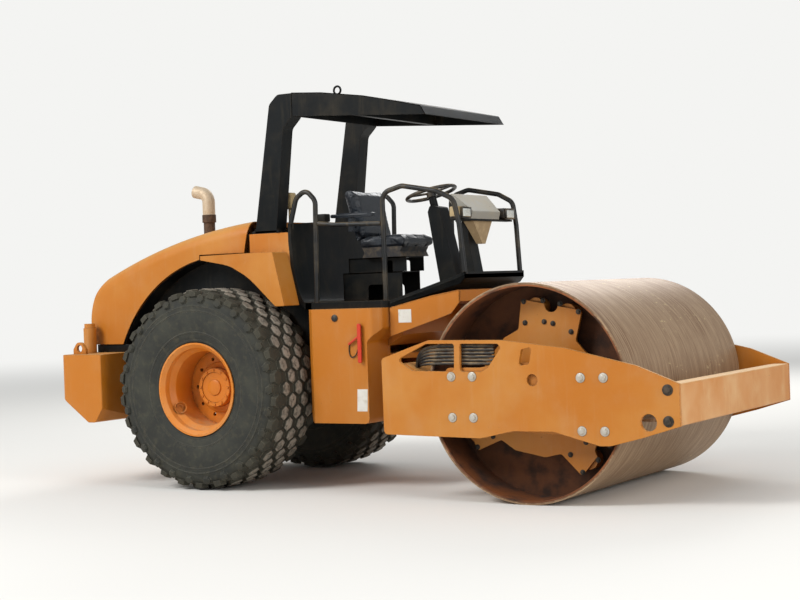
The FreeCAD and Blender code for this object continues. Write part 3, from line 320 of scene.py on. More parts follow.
@dataclass(frozen=True)
class Rubber:
    """Moulded tyre rubber: dull grey black, chalky with age, tan dust on the lugs, and painted shade darkening the
    hollows between them.
    """

    name: str
    axle: Vector
    tread_r: float

    def material(self) -> bpy.types.Material:
        """Build the rubber, paler where the lugs wear."""
        recipe = Recipe(self.name)
        moved = recipe.add("ShaderNodeVectorMath", {"operation": "SUBTRACT"}, {0: recipe.place, 1: self.axle})
        split = recipe.add("ShaderNodeSeparateXYZ", None, {0: moved.outputs[0]})
        flat = recipe.add("ShaderNodeCombineXYZ", None, {"X": split.outputs["X"], "Z": split.outputs["Z"]})
        radius = recipe.add("ShaderNodeVectorMath", {"operation": "LENGTH"}, {0: flat.outputs[0]}).outputs["Value"]
        rounded = recipe.rounded(5.0)
        tops = recipe.both(recipe.between(radius, self.tread_r - 0.012, self.tread_r - 0.002),
                           recipe.patches(30, 0.25, 0.6))
        tread = recipe.between(radius, self.tread_r - 0.10, self.tread_r - 0.04)
        edges = recipe.both(recipe.worn_edges(rounded, 0.98, 0.86), recipe.patches(20, 0.3, 0.6))
        chalk = recipe.patches(180, 0.35, 0.75, detail=8.0)
        stains = recipe.patches(50, 0.48, 0.72, detail=6.0)
        grit = recipe.patches(3, 0.35, 0.7, detail=2.0)
        # The last coat is painted shade: darker in the hollows between the lugs.
        colour, rough = recipe.coats("22231E", 0.78, (
            ("37372E", 0.85, chalk), ("4A4636", 0.9, recipe.both(stains, 0.5)),
            ("3E392B", 0.92, recipe.both(tread, 0.5)), ("A2988A", 0.9, recipe.both(tops, 0.8)),
            ("8E8672", 0.9, recipe.both(edges, 0.5)), ("151613", 0.85, recipe.both(recipe.hollows(0.05, 0.6, 0.3), 0.5))))
        normal = recipe.bump(grit, 0.25, rounded)
        return recipe.done(Base_Color=colour, Roughness=rough, Normal=normal)


@dataclass(frozen=True)
class Vinyl:
    """Embossed seat vinyl: blue black, soft sheen, fine leather grain, dust on faces that look up, and painted shade
    darkening the seams.
    """

    name: str = "embossed_vinyl"

    def material(self) -> bpy.types.Material:
        """Build the vinyl with a grain of about 2 mm, drawn at 5 mm so that it shows."""
        recipe = Recipe(self.name)
        cells = recipe.add("ShaderNodeTexVoronoi", {"feature": "DISTANCE_TO_EDGE"},
                           {"Vector": recipe.place, "Scale": 200.0})
        grain = recipe.between(cells.outputs["Distance"], 0.0, 0.18)
        worn = recipe.patches(120, 0.45, 0.75, detail=6.0)
        dusty = recipe.both(recipe.facing_up(0.4, 0.95), recipe.patches(60, 0.35, 0.7))
        # The last coat is painted shade: darker in the seams.
        colour, rough = recipe.coats("0B131C", 0.36, (
            ("15222E", 0.45, worn), ("7E7662", 0.8, recipe.both(dusty, 0.18)),
            ("10161C", 0.6, recipe.both(recipe.hollows(0.03, 0.6, 0.3), 0.7))))
        return recipe.done(Base_Color=colour, Roughness=rough, Normal=recipe.bump(grain, 0.25))


@dataclass(frozen=True)
class Moulded:
    """Moulded rubber or plastic, and small parts in one colour: fine stipple, worn and dusty."""

    name: str
    colour: str
    worn: str
    roughness: float = 0.6
    dust: float = 0.3
    stipple_mm: float = 3.0

    def material(self) -> bpy.types.Material:
        """Build the moulding with dust on what faces up."""
        recipe = Recipe(self.name)
        settled = recipe.both(recipe.both(recipe.facing_up(0.2, 0.95), recipe.patches(50, 0.30, 0.66)), self.dust * 2)
        film = recipe.both(recipe.patches(90, 0.40, 0.80, detail=7.0), self.dust)
        colour, rough = recipe.coats(self.colour, self.roughness, (
            (self.worn, self.roughness + 0.1, recipe.patches(40, 0.48, 0.75)), ("A58D6A", 0.9, film),
            ("B0966F", 0.92, settled)))
        stipple = recipe.patches(self.stipple_mm, 0.35, 0.65, detail=1.0)
        return recipe.done(Base_Color=colour, Roughness=rough, Normal=recipe.bump(stipple, 0.12, recipe.rounded(1.5)))


@dataclass(frozen=True)
class BareMetal:
    """Bare or plated steel: turned, cast or plated, with a film of rust or oil."""

    name: str
    colour: str
    rust: str
    roughness: float = 0.3
    rusting: float = 0.3
    metallic: float = 1.0

    def material(self) -> bpy.types.Material:
        """Build the metal with rust in blotches."""
        recipe = Recipe(self.name)
        blotches = recipe.both(recipe.patches(45, 0.42, 0.70, detail=7.0), self.rusting)
        colour, rough = recipe.coats(self.colour, self.roughness, ((self.rust, 0.8, blotches),))
        left = recipe.add("ShaderNodeMath", {"operation": "SUBTRACT", "use_clamp": True},
                          {0: self.metallic, 1: blotches}).outputs[0]
        return recipe.done(Base_Color=colour, Roughness=rough, Metallic=left,
                           Normal=recipe.bump(blotches, 0.15, recipe.rounded(1.5)))


@dataclass(frozen=True)
class LampGlass:
    """Pressed lamp lens: clear, ribbed, frosted by dust, over a pale reflector."""

    name: str = "pressed_lens"

    def material(self) -> bpy.types.Material:
        """Build the lens as pale ribbed gloss."""
        recipe = Recipe(self.name)
        ribs = recipe.add("ShaderNodeTexWave", {"bands_direction": "Y"}, {"Vector": recipe.place, "Scale": 40.0})
        film = recipe.patches(30, 0.35, 0.7, detail=6.0)
        colour, rough = recipe.coats("D9DDD8", 0.12, (("B9A88A", 0.5, recipe.both(film, 0.45)),))
        return recipe.done(Base_Color=colour, Roughness=rough, Metallic=0.25, Coat_Weight=0.6,
                           Normal=recipe.bump(ribs.outputs["Fac"], 0.8))


class Shop:
    """All finishes by their record slot, and the extra ones that only small pieces have."""

    def __init__(self, drum_axle: Vector, wheel_axle: Vector) -> None:
        """Build every finish once.

        Args:
            drum_axle: Middle of the drum.
            wheel_axle: A point on the rear wheels' axis.
        """
        orange = ("B96D14", "C68B40")
        finishes = {
            "orange_paint": Enamel("orange_enamel", *orange, dusting=0.24, chips=0.35),
            "frame_orange": Enamel("orange_enamel_on_plate", *orange, dusting=0.28, chips=0.7),
            "wheel_orange": Enamel("orange_enamel_on_rim", "CE7617", "D6883A", dusting=0.4, chips=0.4),
            "black_paint": Enamel("satin_black_enamel", "0A0D0E", "14181A", "6E6048", "3A2E22", 0.42, dusting=0.2,
                                  chips=0.3, sheen=0.15),
            "shroud_tan": Moulded("tan_boot", "9C8462", "B39B76", 0.8, 0.4, 5.0),
            "rail_black": Enamel("rail_black_enamel", "0E1011", "1E2020", "9A8664", "6A5030", 0.42, dusting=0.45,
                                 chips=0.9),
            "drum_steel": RolledSteel("rolled_steel", drum_axle, DRUM_R),
            "tyre_rubber": Rubber("tyre_rubber", wheel_axle, TYRE_R),
            "axle_paint": Enamel("chassis_black", "1E1D1A", "35322B", "8A7656", "4A3524", 0.6, dusting=0.9),
            "engine_iron": Enamel("cast_iron_grey", "3A3B3A", "4A4A46", "8A7656", "3A2A1C", 0.6, dusting=0.7),
            "seat_vinyl": Vinyl(),
            "suspension_rubber": Moulded("bellows_rubber", "15161A", "26272B", 0.6, 0.35),
            "dash_grey": Enamel("dash_grey_enamel", "8E8B82", "A5A196", "B7A27C", "4A443A", 0.45, dusting=0.4,
                                chips=0.3),
            "wheel_plastic": Moulded("black_plastic", "141516", "2A2B2B", 0.4, 0.25),
            "lamp_housing": Moulded("lamp_plastic", "17181A", "2C2D2D", 0.5, 0.45),
            "exhaust_steel": BareMetal("stack_steel", "CBB79C", "A98A62", 0.55, 0.5, 0.35),
            "rod_chrome": BareMetal("hard_chrome", "C9CACB", "7A6A55", 0.15, 0.15),
            "lock_red": Enamel("red_enamel", "C8341A", "D8502F", "B79B74", "5A2A1C", 0.4, dusting=0.3, chips=0.4),
            "filler_cap": Enamel("orange_enamel_on_filler", *orange, dusting=0.5, chips=0.5),
            "bolt_zinc": BareMetal("zinc_plate", "C4BEB2", "8A7458", 0.4, 0.5, 0.6),
            "bolt_black": BareMetal("black_oxide", "37332D", "5A4632", 0.5, 0.5, 0.6),
            "hose": Moulded("hose_rubber", "17181A", "2D2D2C", 0.55, 0.45, 6.0),
            "label": Moulded("label_vinyl", "DEDBD2", "C9C2B2", 0.4, 0.2),
            "lens": LampGlass(),
            "rust_dark": BareMetal("scale_brown", "4A3626", "6B4A30", 0.8, 0.6, 0.2),
            # Paler copy of the orange for the front beam: dust, and painted light from the bright ground on its
            # forward face.
            "beam_orange_dust_and_bounce_light": Enamel("orange_enamel_on_beam_with_painted_light", "C07A2C", "D9AC7A", "DDBE92", dusting=0.7, chips=0.8),
            "beige": Enamel("beige_enamel", "B09A6E", "C0AC84", dusting=0.5),
        }
        self.materials = {name: finish.material() for name, finish in finishes.items()}

    def dress_frame(self) -> None:
        """Give each carried-over node the finish of its slot."""
        slots = {row["node"]: row["material_slot"] for row in frame["record"]["subparts"]}
        # The front beam takes the paler orange that holds dust and painted bounce light.
        own = {"yoke_front_beam": "beam_orange_dust_and_bounce_light"}
        for name, piece in frame["nodes"].items():
            for holder in piece.material_slots:
                holder.material = self.materials[own.get(name, slots[name])]

    def sell(self, piece: bpy.types.Object, finish: str, body: str) -> bpy.types.Object:
        """Finish a piece and hang it on its body.

        Args:
            piece: The mesh object.
            finish: Name of its finish.
            body: Body of the frame that carries it.

        Returns:
            The same piece.
        """
        if not piece.data.materials:
            piece.data.materials.append(self.materials[finish])
        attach(piece, body)
        log.info("%s: %d faces on %s", piece.name, len(piece.data.polygons), body)
        return piece


class Form:
    """A mesh while it is modelled, in metres of the frame."""

    def __init__(self) -> None:
        """Start with nothing."""
        self.bm = bmesh.new()

    def placed(self, verts: Sequence[bmesh.types.BMVert], matrix: Matrix) -> None:
        """Move new vertices to their place."""
        bmesh.ops.transform(self.bm, matrix=matrix, verts=verts)

    def prism(self, centre: Vector, axis: Vector, radius: float, length: float, sides: int = 24,
              top: float | None = None, turn: float = 0.0, chamfer: float = 0.0) -> list[bmesh.types.BMVert]:
        """Add a closed bar, disc or hex along an axis.

        Args:
            centre: Middle of its base.
            axis: Direction from the base to the top.
            radius: Radius of the base.
            length: Height along the axis.
            sides: Sides of the prism.
            top: Radius of the top, or None for the same as the base.
            turn: Turn about the axis, in radians.
            chamfer: Bevel of the top's edge.

        Returns:
            The new vertices.
        """
        made = bmesh.ops.create_cone(self.bm, cap_ends=True, segments=sides, radius1=radius,
                                     radius2=radius if top is None else top, depth=length)["verts"]
        if chamfer:
            crown = [edge for edge in {e for v in made for e in v.link_edges}
                     if all(v.co.z > 0 for v in edge.verts)]
            bevelled = bmesh.ops.bevel(self.bm, geom=crown, offset=chamfer, offset_type="OFFSET", segments=2,
                                       profile=0.5, affect="EDGES", material=-1)
            made = [v for v in made if v.is_valid] + [v for v in bevelled["verts"] if v not in made]
        facing = axis.normalized().to_track_quat("Z", "Y").to_matrix().to_4x4()
        self.placed(made, Matrix.Translation(centre) @ facing @ Matrix.Rotation(turn, 4, "Z")
                    @ Matrix.Translation((0, 0, length / 2)))
        return made

    def box(self, low: Vector, high: Vector, chamfer: float = 0.0) -> list[bmesh.types.BMVert]:
        """Add a box between two corners, with its edges bevelled by chamfer."""
        made = bmesh.ops.create_cube(self.bm, size=1.0)["verts"]
        size = Vector([abs(high[i] - low[i]) for i in range(3)])
        self.placed(made, Matrix.Translation((low + high) / 2) @ Matrix.Diagonal((*size, 1.0)))
        if chamfer:
            edges = list({edge for v in made for edge in v.link_edges})
            bevelled = bmesh.ops.bevel(self.bm, geom=edges, offset=chamfer, offset_type="OFFSET", segments=2,
                                       profile=0.5, affect="EDGES", material=-1)
            made = [v for v in made if v.is_valid] + bevelled["verts"]
        return made

    def turned(self, profile: Sequence[tuple[float, float]], centre: Vector, axis: Vector,
               steps: int = 48, closed: bool = False) -> list[bmesh.types.BMVert]:
        """Spin a profile about an axis.

        Args:
            profile: Points as radius and distance along the axis.
            centre: Where the distance is 0.
            axis: The axis.
            steps: Steps of the full turn.
            closed: Whether the profile's last point joins its first.

        Returns:
            The new vertices.
        """
        before = set(self.bm.verts)
        points = [self.bm.verts.new((radius, 0.0, along)) for radius, along in profile]
        links = list(zip(points, points[1:] + ([points[0]] if closed else [])))
        edges = [self.bm.edges.new(pair) for pair in links]
        bmesh.ops.spin(self.bm, geom=points + edges, cent=(0, 0, 0), axis=(0, 0, 1), dvec=(0, 0, 0),
                       angle=2 * math.pi, steps=steps, use_merge=True)
        made = [v for v in self.bm.verts if v not in before]
        bmesh.ops.remove_doubles(self.bm, verts=made, dist=1e-5)
        made = [v for v in self.bm.verts if v not in before]
        faces = list({face for v in made for face in v.link_faces})
        bmesh.ops.recalc_face_normals(self.bm, faces=faces)
        facing = axis.normalized().to_track_quat("Z", "Y").to_matrix().to_4x4()
        self.placed(made, Matrix.Translation(centre) @ facing)
        return made

    def plate(self, corners: Sequence[Vector], thickness: Vector, chamfer: float = 0.0) -> list[bmesh.types.BMVert]:
        """Add a flat plate.

        Args:
            corners: Its outline, in order.
            thickness: From the outline's plane to the other face.
            chamfer: Bevel of all edges.

        Returns:
            The new vertices.
        """
        before = set(self.bm.verts)
        face = self.bm.faces.new([self.bm.verts.new(corner) for corner in corners])
        grown = bmesh.ops.extrude_face_region(self.bm, geom=[face], use_keep_orig=True)["geom"]
        self.placed([v for v in grown if isinstance(v, bmesh.types.BMVert)], Matrix.Translation(thickness))
        made = [v for v in self.bm.verts if v not in before]
        bmesh.ops.recalc_face_normals(self.bm, faces=list({f for v in made for f in v.link_faces}))
        if chamfer:
            edges = list({edge for v in made for edge in v.link_edges})
            bmesh.ops.bevel(self.bm, geom=edges, offset=chamfer, offset_type="OFFSET", segments=2, profile=0.5,
                            affect="EDGES", material=-1)
            made = [v for v in self.bm.verts if v not in before]
        return made

    def tube(self, route: Sequence[Vector], radius: float, sides: int = 12, steps: int = 6) -> None:
        """Add a tube along a smooth line through or near the route's points."""
        line = smooth_line(route, steps)
        before = set(self.bm.verts)
        rings = []
        up = Vector((0, 0, 1)) if abs((line[1] - line[0]).normalized().z) < 0.9 else Vector((0, 1, 0))
        for index, point in enumerate(line):
            ahead = (line[min(index + 1, len(line) - 1)] - line[max(index - 1, 0)]).normalized()
            across = ahead.cross(up).normalized()
            up = across.cross(ahead).normalized()
            ring = bmesh.ops.create_circle(self.bm, cap_ends=index in (0, len(line) - 1), segments=sides,
                                           radius=radius)["verts"]
            turn = Matrix((across, up, ahead)).transposed().to_4x4()
            self.placed(ring, Matrix.Translation(point) @ turn)
            rings.append([e for e in {edge for v in ring for edge in v.link_edges}])
        for near, far in zip(rings, rings[1:]):
            bmesh.ops.bridge_loops(self.bm, edges=near + far)
        made = [v for v in self.bm.verts if v not in before]
        bmesh.ops.recalc_face_normals(self.bm, faces=list({f for v in made for f in v.link_faces}))

    def stamp(self, template: bpy.types.Mesh, places: Sequence[Matrix]) -> None:
        """Add a copy of a small mesh at each place."""
        for place in places:
            template.transform(place)
            self.bm.from_mesh(template)
            template.transform(place.inverted())

    def slab(self, corners: Sequence[tuple], low: float, high: float,
             view: str = "side") -> list[bmesh.types.BMVert]:
        """Add a plate drawn in one view, in millimetres from the rear axle.

        Args:
            corners: Rows of two coordinates and, for a round corner, its radius.
            low: Where the plate starts across the view.
            high: Where it ends.
            view: Side (x, z), plan (x, y) or front (y, z).

        Returns:
            The new vertices.
        """
        order = {"side": lambda u, v, w: at(u, w, v), "plan": lambda u, v, w: at(u, v, w),
                 "front": lambda u, v, w: at(w, u, v)}[view]
        return self.plate([order(u, v, low) for u, v in eased(corners)], order(0, 0, high) - order(0, 0, low))

    def narrow(self, verts: Sequence[bmesh.types.BMVert], start: float, end: float, loss: float) -> None:
        """Draw vertices in towards the middle, by nothing at start and by loss at end."""
        for vertex in verts:
            run = (vertex.co.x - at(start, 0, 0).x) / ((end - start) * MM)
            vertex.co.y -= math.copysign(loss * MM * run, vertex.co.y)

    def mesh(self, name: str) -> bpy.types.Mesh:
        """Close the form as a mesh."""
        made = bpy.data.meshes.new(name)
        self.bm.to_mesh(made)
        self.bm.free()
        return made

    def piece(self, name: str, smooth_degrees: float = 32.0) -> bpy.types.Object:
        """Close the form as an object, shaded smooth below an angle."""
        made = bpy.data.objects.new(name, self.mesh(name))
        bpy.context.scene.collection.objects.link(made)
        made.data.shade_smooth()
        made.data.set_sharp_from_angle(angle=math.radians(smooth_degrees))
        return made


def smooth_line(route: Sequence[Vector], steps: int) -> list[Vector]:
    """Draw a smooth line near a route.

    Args:
        route: Its points, the first and the last of which it meets.
        steps: Points of the line for each point of the route.

    Returns:
        Points along the line.
    """
    curve = bpy.data.curves.new("route", "CURVE")
    curve.dimensions = "3D"
    spline = curve.splines.new("NURBS")
    spline.points.add(len(route) - 1)
    for point, place in zip(spline.points, route):
        point.co = (*place, 1.0)
    spline.order_u = 3
    spline.use_endpoint_u = True
    spline.resolution_u = steps
    holder = bpy.data.objects.new("route", curve)
    mesh = bpy.data.meshes.new_from_object(holder)
    line = [v.co.copy() for v in mesh.vertices]
    bpy.data.objects.remove(holder)
    bpy.data.meshes.remove(mesh)
    bpy.data.curves.remove(curve)
    return line


def eased(corners: Sequence[tuple], steps: int = 6) -> list[tuple[float, float]]:
    """Draw an outline with its round corners.

    Args:
        corners: Rows of two coordinates and, for a round corner, its radius.
        steps: Runs of each round corner.

    Returns:
        Points of the outline, in order.
    """
    line = []
    for index, corner in enumerate(corners):
        here = Vector(corner[:2])
        if len(corner) < 3:
            line.append(tuple(here))
            continue
        back = Vector(corners[index - 1][:2]) - here
        ahead = Vector(corners[(index + 1) % len(corners)][:2]) - here
        cut = min(corner[2] / math.tan(back.angle(ahead) / 2), 0.48 * back.length, 0.48 * ahead.length)
        start, end = here + back.normalized() * cut, here + ahead.normalized() * cut
        for step in range(steps + 1):
            share = step / steps
            line.append(tuple(start.lerp(here, share).lerp(here.lerp(end, share), share)))
    return line


def ring_arc(centre: tuple[float, float], radius: float, start_x: float, end_x: float,
             steps: int = 40) -> list[tuple[float, float]]:
    """Give points on the upper half of a circle between two places along the machine."""
    ends = [math.acos((x - centre[0]) / radius) for x in (start_x, end_x)]
    angles = [ends[0] + (ends[1] - ends[0]) * step / steps for step in range(steps + 1)]
    return [(centre[0] + radius * math.cos(a), centre[1] + radius * math.sin(a)) for a in angles]


@dataclass
class Bolts:
    """A set of like hex bolts with washers on one face."""

    name: str
    places: Sequence[Vector]
    axis: Vector
    across: float = 0.030
    head: float = 0.012
    washer: float = 1.5

    def build(self) -> bpy.types.Object:
        """Stamp the bolt at each place."""
        one = Form()
        radius = self.across / math.sqrt(3)
        one.prism(Vector(), Vector((0, 0, 1)), radius * self.washer, self.head * 0.3, 20, chamfer=self.head * 0.08)
        one.prism(Vector((0, 0, self.head * 0.3)), Vector((0, 0, 1)), radius, self.head, 6, chamfer=self.head * 0.18)
        template = one.mesh(self.name + "_one")
        facing = self.axis.normalized().to_track_quat("Z", "Y").to_matrix().to_4x4()
        many = Form()
        many.stamp(template, [Matrix.Translation(place) @ facing @ Matrix.Rotation(0.7 * index, 4, "Z")
                              for index, place in enumerate(self.places)])
        bpy.data.meshes.remove(template)
        return many.piece(self.name)


@dataclass
class Studio:
    """Camera, pale floor and soft lights."""

    camera_place: tuple[float, float, float] = (6.608, -10.992, 1.512)
    yaw: float = 31.19
    pitch: float = -0.52
    roll: float = -2.04
    lens_mm: float = 74.475
    floor_r: float = 90.0

    def camera(self) -> None:
        """Stand the camera where the photograph was taken from."""
        yaw, pitch, roll = [math.radians(v) for v in (self.yaw, self.pitch, self.roll)]
        ahead = Vector((-math.sin(yaw) * math.cos(pitch), math.cos(yaw) * math.cos(pitch), math.sin(pitch)))
        level = Vector((math.cos(yaw), math.sin(yaw), 0))
        rise = level.cross(ahead)
        right = level * math.cos(roll) + rise * math.sin(roll)
        up = rise * math.cos(roll) - level * math.sin(roll)
        lens = bpy.data.cameras.new("photo_camera")
        lens.lens = self.lens_mm
        lens.sensor_width = 36.0
        lens.clip_end = 300.0
        holder = bpy.data.objects.new("photo_camera", lens)
        bpy.context.scene.collection.objects.link(holder)
        turn = Matrix((right, up, -ahead)).transposed().to_4x4()
        holder.matrix_world = Matrix.Translation(self.camera_place) @ turn
        bpy.context.scene.camera = holder

    def floor(self) -> None:
        """Lay a pale floor that fades into the background."""
        form = Form()
        bmesh.ops.create_circle(form.bm, cap_ends=True, segments=96, radius=self.floor_r)
        piece = form.piece("floor")
        recipe = Recipe("pale_floor")
        reach = recipe.add("ShaderNodeVectorMath", {"operation": "LENGTH"}, {0: recipe.place}).outputs["Value"]
        fade = recipe.between(reach, 9.0, 30.0)
        rays = recipe.add("ShaderNodeLightPath")
        shown = recipe.both(fade, recipe.both(rays.outputs["Is Camera Ray"], rays.outputs["Is Glossy Ray"], "MAXIMUM"))
        matt = recipe.add("ShaderNodeBsdfDiffuse", None, {"Color": linear("E6E4DF")})
        glow = recipe.add("ShaderNodeEmission", None, {"Color": linear("F4F4F2"), "Strength": 1.0})
        mixed = recipe.add("ShaderNodeMixShader", None, {0: shown, 1: matt.outputs[0], 2: glow.outputs[0]})
        recipe.add("ShaderNodeOutputMaterial", None, {"Surface": mixed.outputs[0]})
        piece.data.materials.append(recipe.material)

    def lights(self) -> None:
        """Light the machine softly, strongest from the camera's upper left."""
        # Columns: name, place, watts, size in metres
        for name, place, watts, size in (("key", (-6.0, -11.0, 10.0), 1500.0, 5.0),
                                         ("front", (11.0, -4.0, 5.0), 500.0, 5.0),
                                         ("back", (-3.0, 11.0, 8.0), 700.0, 6.0)):
            lamp = bpy.data.lights.new(name, "AREA")
            lamp.energy = watts
            lamp.size = size
            holder = bpy.data.objects.new(name, lamp)
            bpy.context.scene.collection.objects.link(holder)
            toward = Vector((0, 0, 1.0)) - Vector(place)
            holder.matrix_world = Matrix.Translation(place) @ toward.to_track_quat("-Z", "Y").to_matrix().to_4x4()

    def sky(self) -> None:
        """Fill from all round, with a white background behind the machine."""
        world = bpy.data.worlds.new("studio_sky")
        world.use_nodes = True
        tree = world.node_tree
        tree.nodes.clear()
        rays = tree.nodes.new("ShaderNodeLightPath")
        seen = tree.nodes.new("ShaderNodeMath")
        seen.operation = "MAXIMUM"
        tree.links.new(rays.outputs["Is Camera Ray"], seen.inputs[0])
        tree.links.new(rays.outputs["Is Transmission Ray"], seen.inputs[1])
        fill = tree.nodes.new("ShaderNodeBackground")
        fill.inputs["Color"].default_value = linear("EEF1F4")
        fill.inputs["Strength"].default_value = 0.62
        white = tree.nodes.new("ShaderNodeBackground")
        white.inputs["Color"].default_value = linear("F4F4F2")
        mixed = tree.nodes.new("ShaderNodeMixShader")
        out = tree.nodes.new("ShaderNodeOutputWorld")
        tree.links.new(seen.outputs[0], mixed.inputs[0])
        tree.links.new(fill.outputs[0], mixed.inputs[1])
        tree.links.new(white.outputs[0], mixed.inputs[2])
        tree.links.new(mixed.outputs[0], out.inputs["Surface"])
        bpy.context.scene.world = world

    def build(self) -> None:
        """Set up the whole studio."""
        self.camera()
        self.floor()
        self.lights()
        self.sky()
        bpy.context.scene.view_settings.view_transform = "Standard"


@dataclass
class Tyre:
    """Wide flotation tyre with hexagonal blocks in staggered rows."""

    side: Side
    middle_y: float = 0.755
    half_width: float = 0.295
    carcass_r: float = 0.744
    lug_top_r: float = 0.770
    crown_drop: float = 0.040
    pitches: int = 26
    rows: int = 7
    row_step: float = 0.079
    block_along: float = 0.122
    block_across: float = 0.092

    def carcass_radius(self, across: float) -> float:
        """Radius of the rubber under the lugs, at a distance from the tyre's middle."""
        t = min(1.0, abs(across) / self.half_width)
        return self.carcass_r - self.crown_drop * t ** 4

    def profile(self) -> list[tuple[float, float]]:
        """Half section of the carcass, bead to bead, as radius and distance from the middle."""
        # Columns: radius, distance from the middle; outer half, from the bead to the crown
        wall = [(0.332, 0.257), (0.362, 0.257), (0.366, 0.266), (0.374, 0.270), (0.385, 0.269), (0.392, 0.273),
                (0.412, 0.279), (0.430, 0.2825), (0.434, 0.2865), (0.442, 0.2875), (0.446, 0.285), (0.480, 0.291),
                (0.520, 0.2945), (0.570, 0.2945), (0.596, 0.2925), (0.600, 0.2955), (0.606, 0.2955), (0.610, 0.292),
                (0.632, 0.2905), (0.636, 0.2935), (0.642, 0.2930), (0.646, 0.2885), (0.668, 0.284), (0.690, 0.279)]
        crown = [(self.carcass_radius(0.26 - 0.02 * step), 0.26 - 0.02 * step) for step in range(13)]
        outer = wall + crown
        return outer + [(radius, -across) for radius, across in reversed(outer)]

    def block(self, along: float, across: float, depth: float, taper: float) -> bpy.types.Mesh:
        """Model one hexagonal block with a bevelled top, its base at zero."""
        form = Form()
        made = form.prism(Vector(), Vector((0, 0, 1)), 0.5, depth, 6, top=0.5 * taper, turn=math.pi / 2)
        form.placed(made, Matrix.Diagonal((along, across * 2 / math.sqrt(3), 1.0, 1.0)))
        top = [e for e in form.bm.edges if all(v.co.z > depth * 0.9 for v in e.verts)]
        bmesh.ops.bevel(form.bm, geom=top, offset=0.004, offset_type="OFFSET", segments=2, profile=0.5,
                        affect="EDGES", material=-1)
        return form.mesh("tread_block")

    def places(self) -> tuple[list[Matrix], list[Matrix]]:
        """Give the places of the tread's blocks and of the small blocks on the shoulders."""
        tread, shoulder = [], []
        pitch = 2 * math.pi / self.pitches
        for row in range(self.rows):
            across = (row - (self.rows - 1) / 2) * self.row_step
            for index in range(self.pitches):
                turn = (index + 0.5 * (row % 2)) * pitch
                tread.append(Matrix.Rotation(turn, 4, "Y") @ Matrix.Translation((0, across, 0))
                             @ Matrix.Translation((0, 0, self.carcass_radius(across) - 0.016)))
        for sign in (-1, 1):
            for index in range(self.pitches):
                turn = (index + 0.5) * pitch
                shoulder.append(Matrix.Rotation(turn, 4, "Y") @ Matrix.Translation((0, sign * 0.276, 0.690))
                                @ Matrix.Rotation(-sign * math.radians(66), 4, "X"))
        return tread, shoulder

    def build(self, shop: Shop) -> None:
        """Model the tyre in place of its plain solid."""
        form = Form()
        form.turned(self.profile(), Vector(), Vector((0, 1, 0)), 112)
        tread, shoulder = self.places()
        large = self.block(self.block_along, self.block_across, 0.0401, 0.88)
        small = self.block(0.078, 0.062, 0.022, 0.80)
        form.stamp(large, tread)
        form.stamp(small, shoulder)
        low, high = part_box("tyre_" + self.side.word)
        centre = (low + high) / 2
        form.placed(form.bm.verts, Matrix.Translation(centre))
        piece = form.piece("tyre_dressed_" + self.side.word)
        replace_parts(piece, "tyre_" + self.side.word)
        shop.sell(piece, "tyre_rubber", "wheel_" + self.side.word)


@dataclass
class WheelTrim:
    """What is bolted to a rear rim: hub cover, its bolts and the valve guard."""

    side: Side
    disc_y: float = 0.714
    hub_y: float = 0.794
    hub_r: float = 0.150
    bolt_circle: float = 0.132
    bolts: int = 12

    def build(self, shop: Shop) -> None:
        """Model the trim on its wheel."""
        sign = self.side.value
        out = Vector((0, sign, 0))
        body = "wheel_" + self.side.word
        axle = at(0, 0, 770)
        ring = [axle + Vector((self.bolt_circle * math.cos(a), sign * self.hub_y, self.bolt_circle * math.sin(a)))
                for a in [2 * math.pi * i / self.bolts for i in range(self.bolts)]]
        shop.sell(Bolts("hub_bolts_" + self.side.word, ring, out, 0.018, 0.010).build(), "wheel_orange", body)
        cover = Form()
        cover.turned([(0.0, 0.012), (0.052, 0.012), (0.060, 0.008), (0.064, 0.0), (0.064, -0.004)],
                     axle + out * self.hub_y, out, 40)
        cover.turned([(0.118, -0.002), (0.118, 0.006), (0.147, 0.006), (0.150, 0.002), (0.150, -0.010)],
                     axle + out * self.hub_y, out, 56)
        cover.turned([(0.196, 0.0), (0.196, 0.010), (0.188, 0.016), (0.160, 0.018), (0.152, 0.022), (0.150, 0.0)],
                     axle + out * self.disc_y, out, 56)
        shop.sell(cover.piece("hub_cover_" + self.side.word), "wheel_orange", body)
        guard = Form()
        angle = math.radians(212)
        place = axle + Vector((0.275 * math.cos(angle), sign * 0.930, 0.275 * math.sin(angle)))
        guard.turned([(0.016, -0.030), (0.034, -0.026), (0.044, -0.008), (0.046, 0.016), (0.042, 0.016),
                      (0.040, -0.006), (0.031, -0.022), (0.014, -0.026)], place,
                     Vector((math.cos(angle + 2.6), sign * 0.9, math.sin(angle + 2.6))), 32, True)
        shop.sell(guard.piece("valve_guard_" + self.side.word), "wheel_orange", body)


@dataclass
class YokeTrim:
    """Bolts of one side of the front frame, with rust stains under them."""

    side: Side
    # Columns: millimetres ahead of the drum's axle, height
    carrier_bolts: tuple = ((-539, 870), (-376, 870), (-539, 589), (-376, 589), (433, 861), (596, 861), (433, 510),
                            (596, 510))
    end_bolts: tuple = ((1040, 782), (1040, 580))

    def build(self, shop: Shop) -> None:
        """Model the bolts on the side plate."""
        sign = self.side.value
        out = Vector((0, sign, 0))
        face = sign * YOKE_FACE_Y
        plate = [at(WHEELBASE + x, face, z) for x, z in self.carrier_bolts]
        ends = [at(WHEELBASE + x, face, z) for x, z in self.end_bolts]
        shop.sell(Bolts("carrier_bolts_" + self.side.word, plate, out, 0.036, 0.012, 1.55).build(), "bolt_zinc",
                  "yoke")
        stains = Form()
        for place in plate + ends:
            stains.prism(place - out * 0.0005, out, 0.034, 0.0012, 24)
        shop.sell(stains.piece("bolt_stains_" + self.side.word), "rust_dark", "yoke")
        shop.sell(Bolts("beam_bolts_" + self.side.word, ends, out, 0.040, 0.012, 1.6).build(), "bolt_black", "yoke")


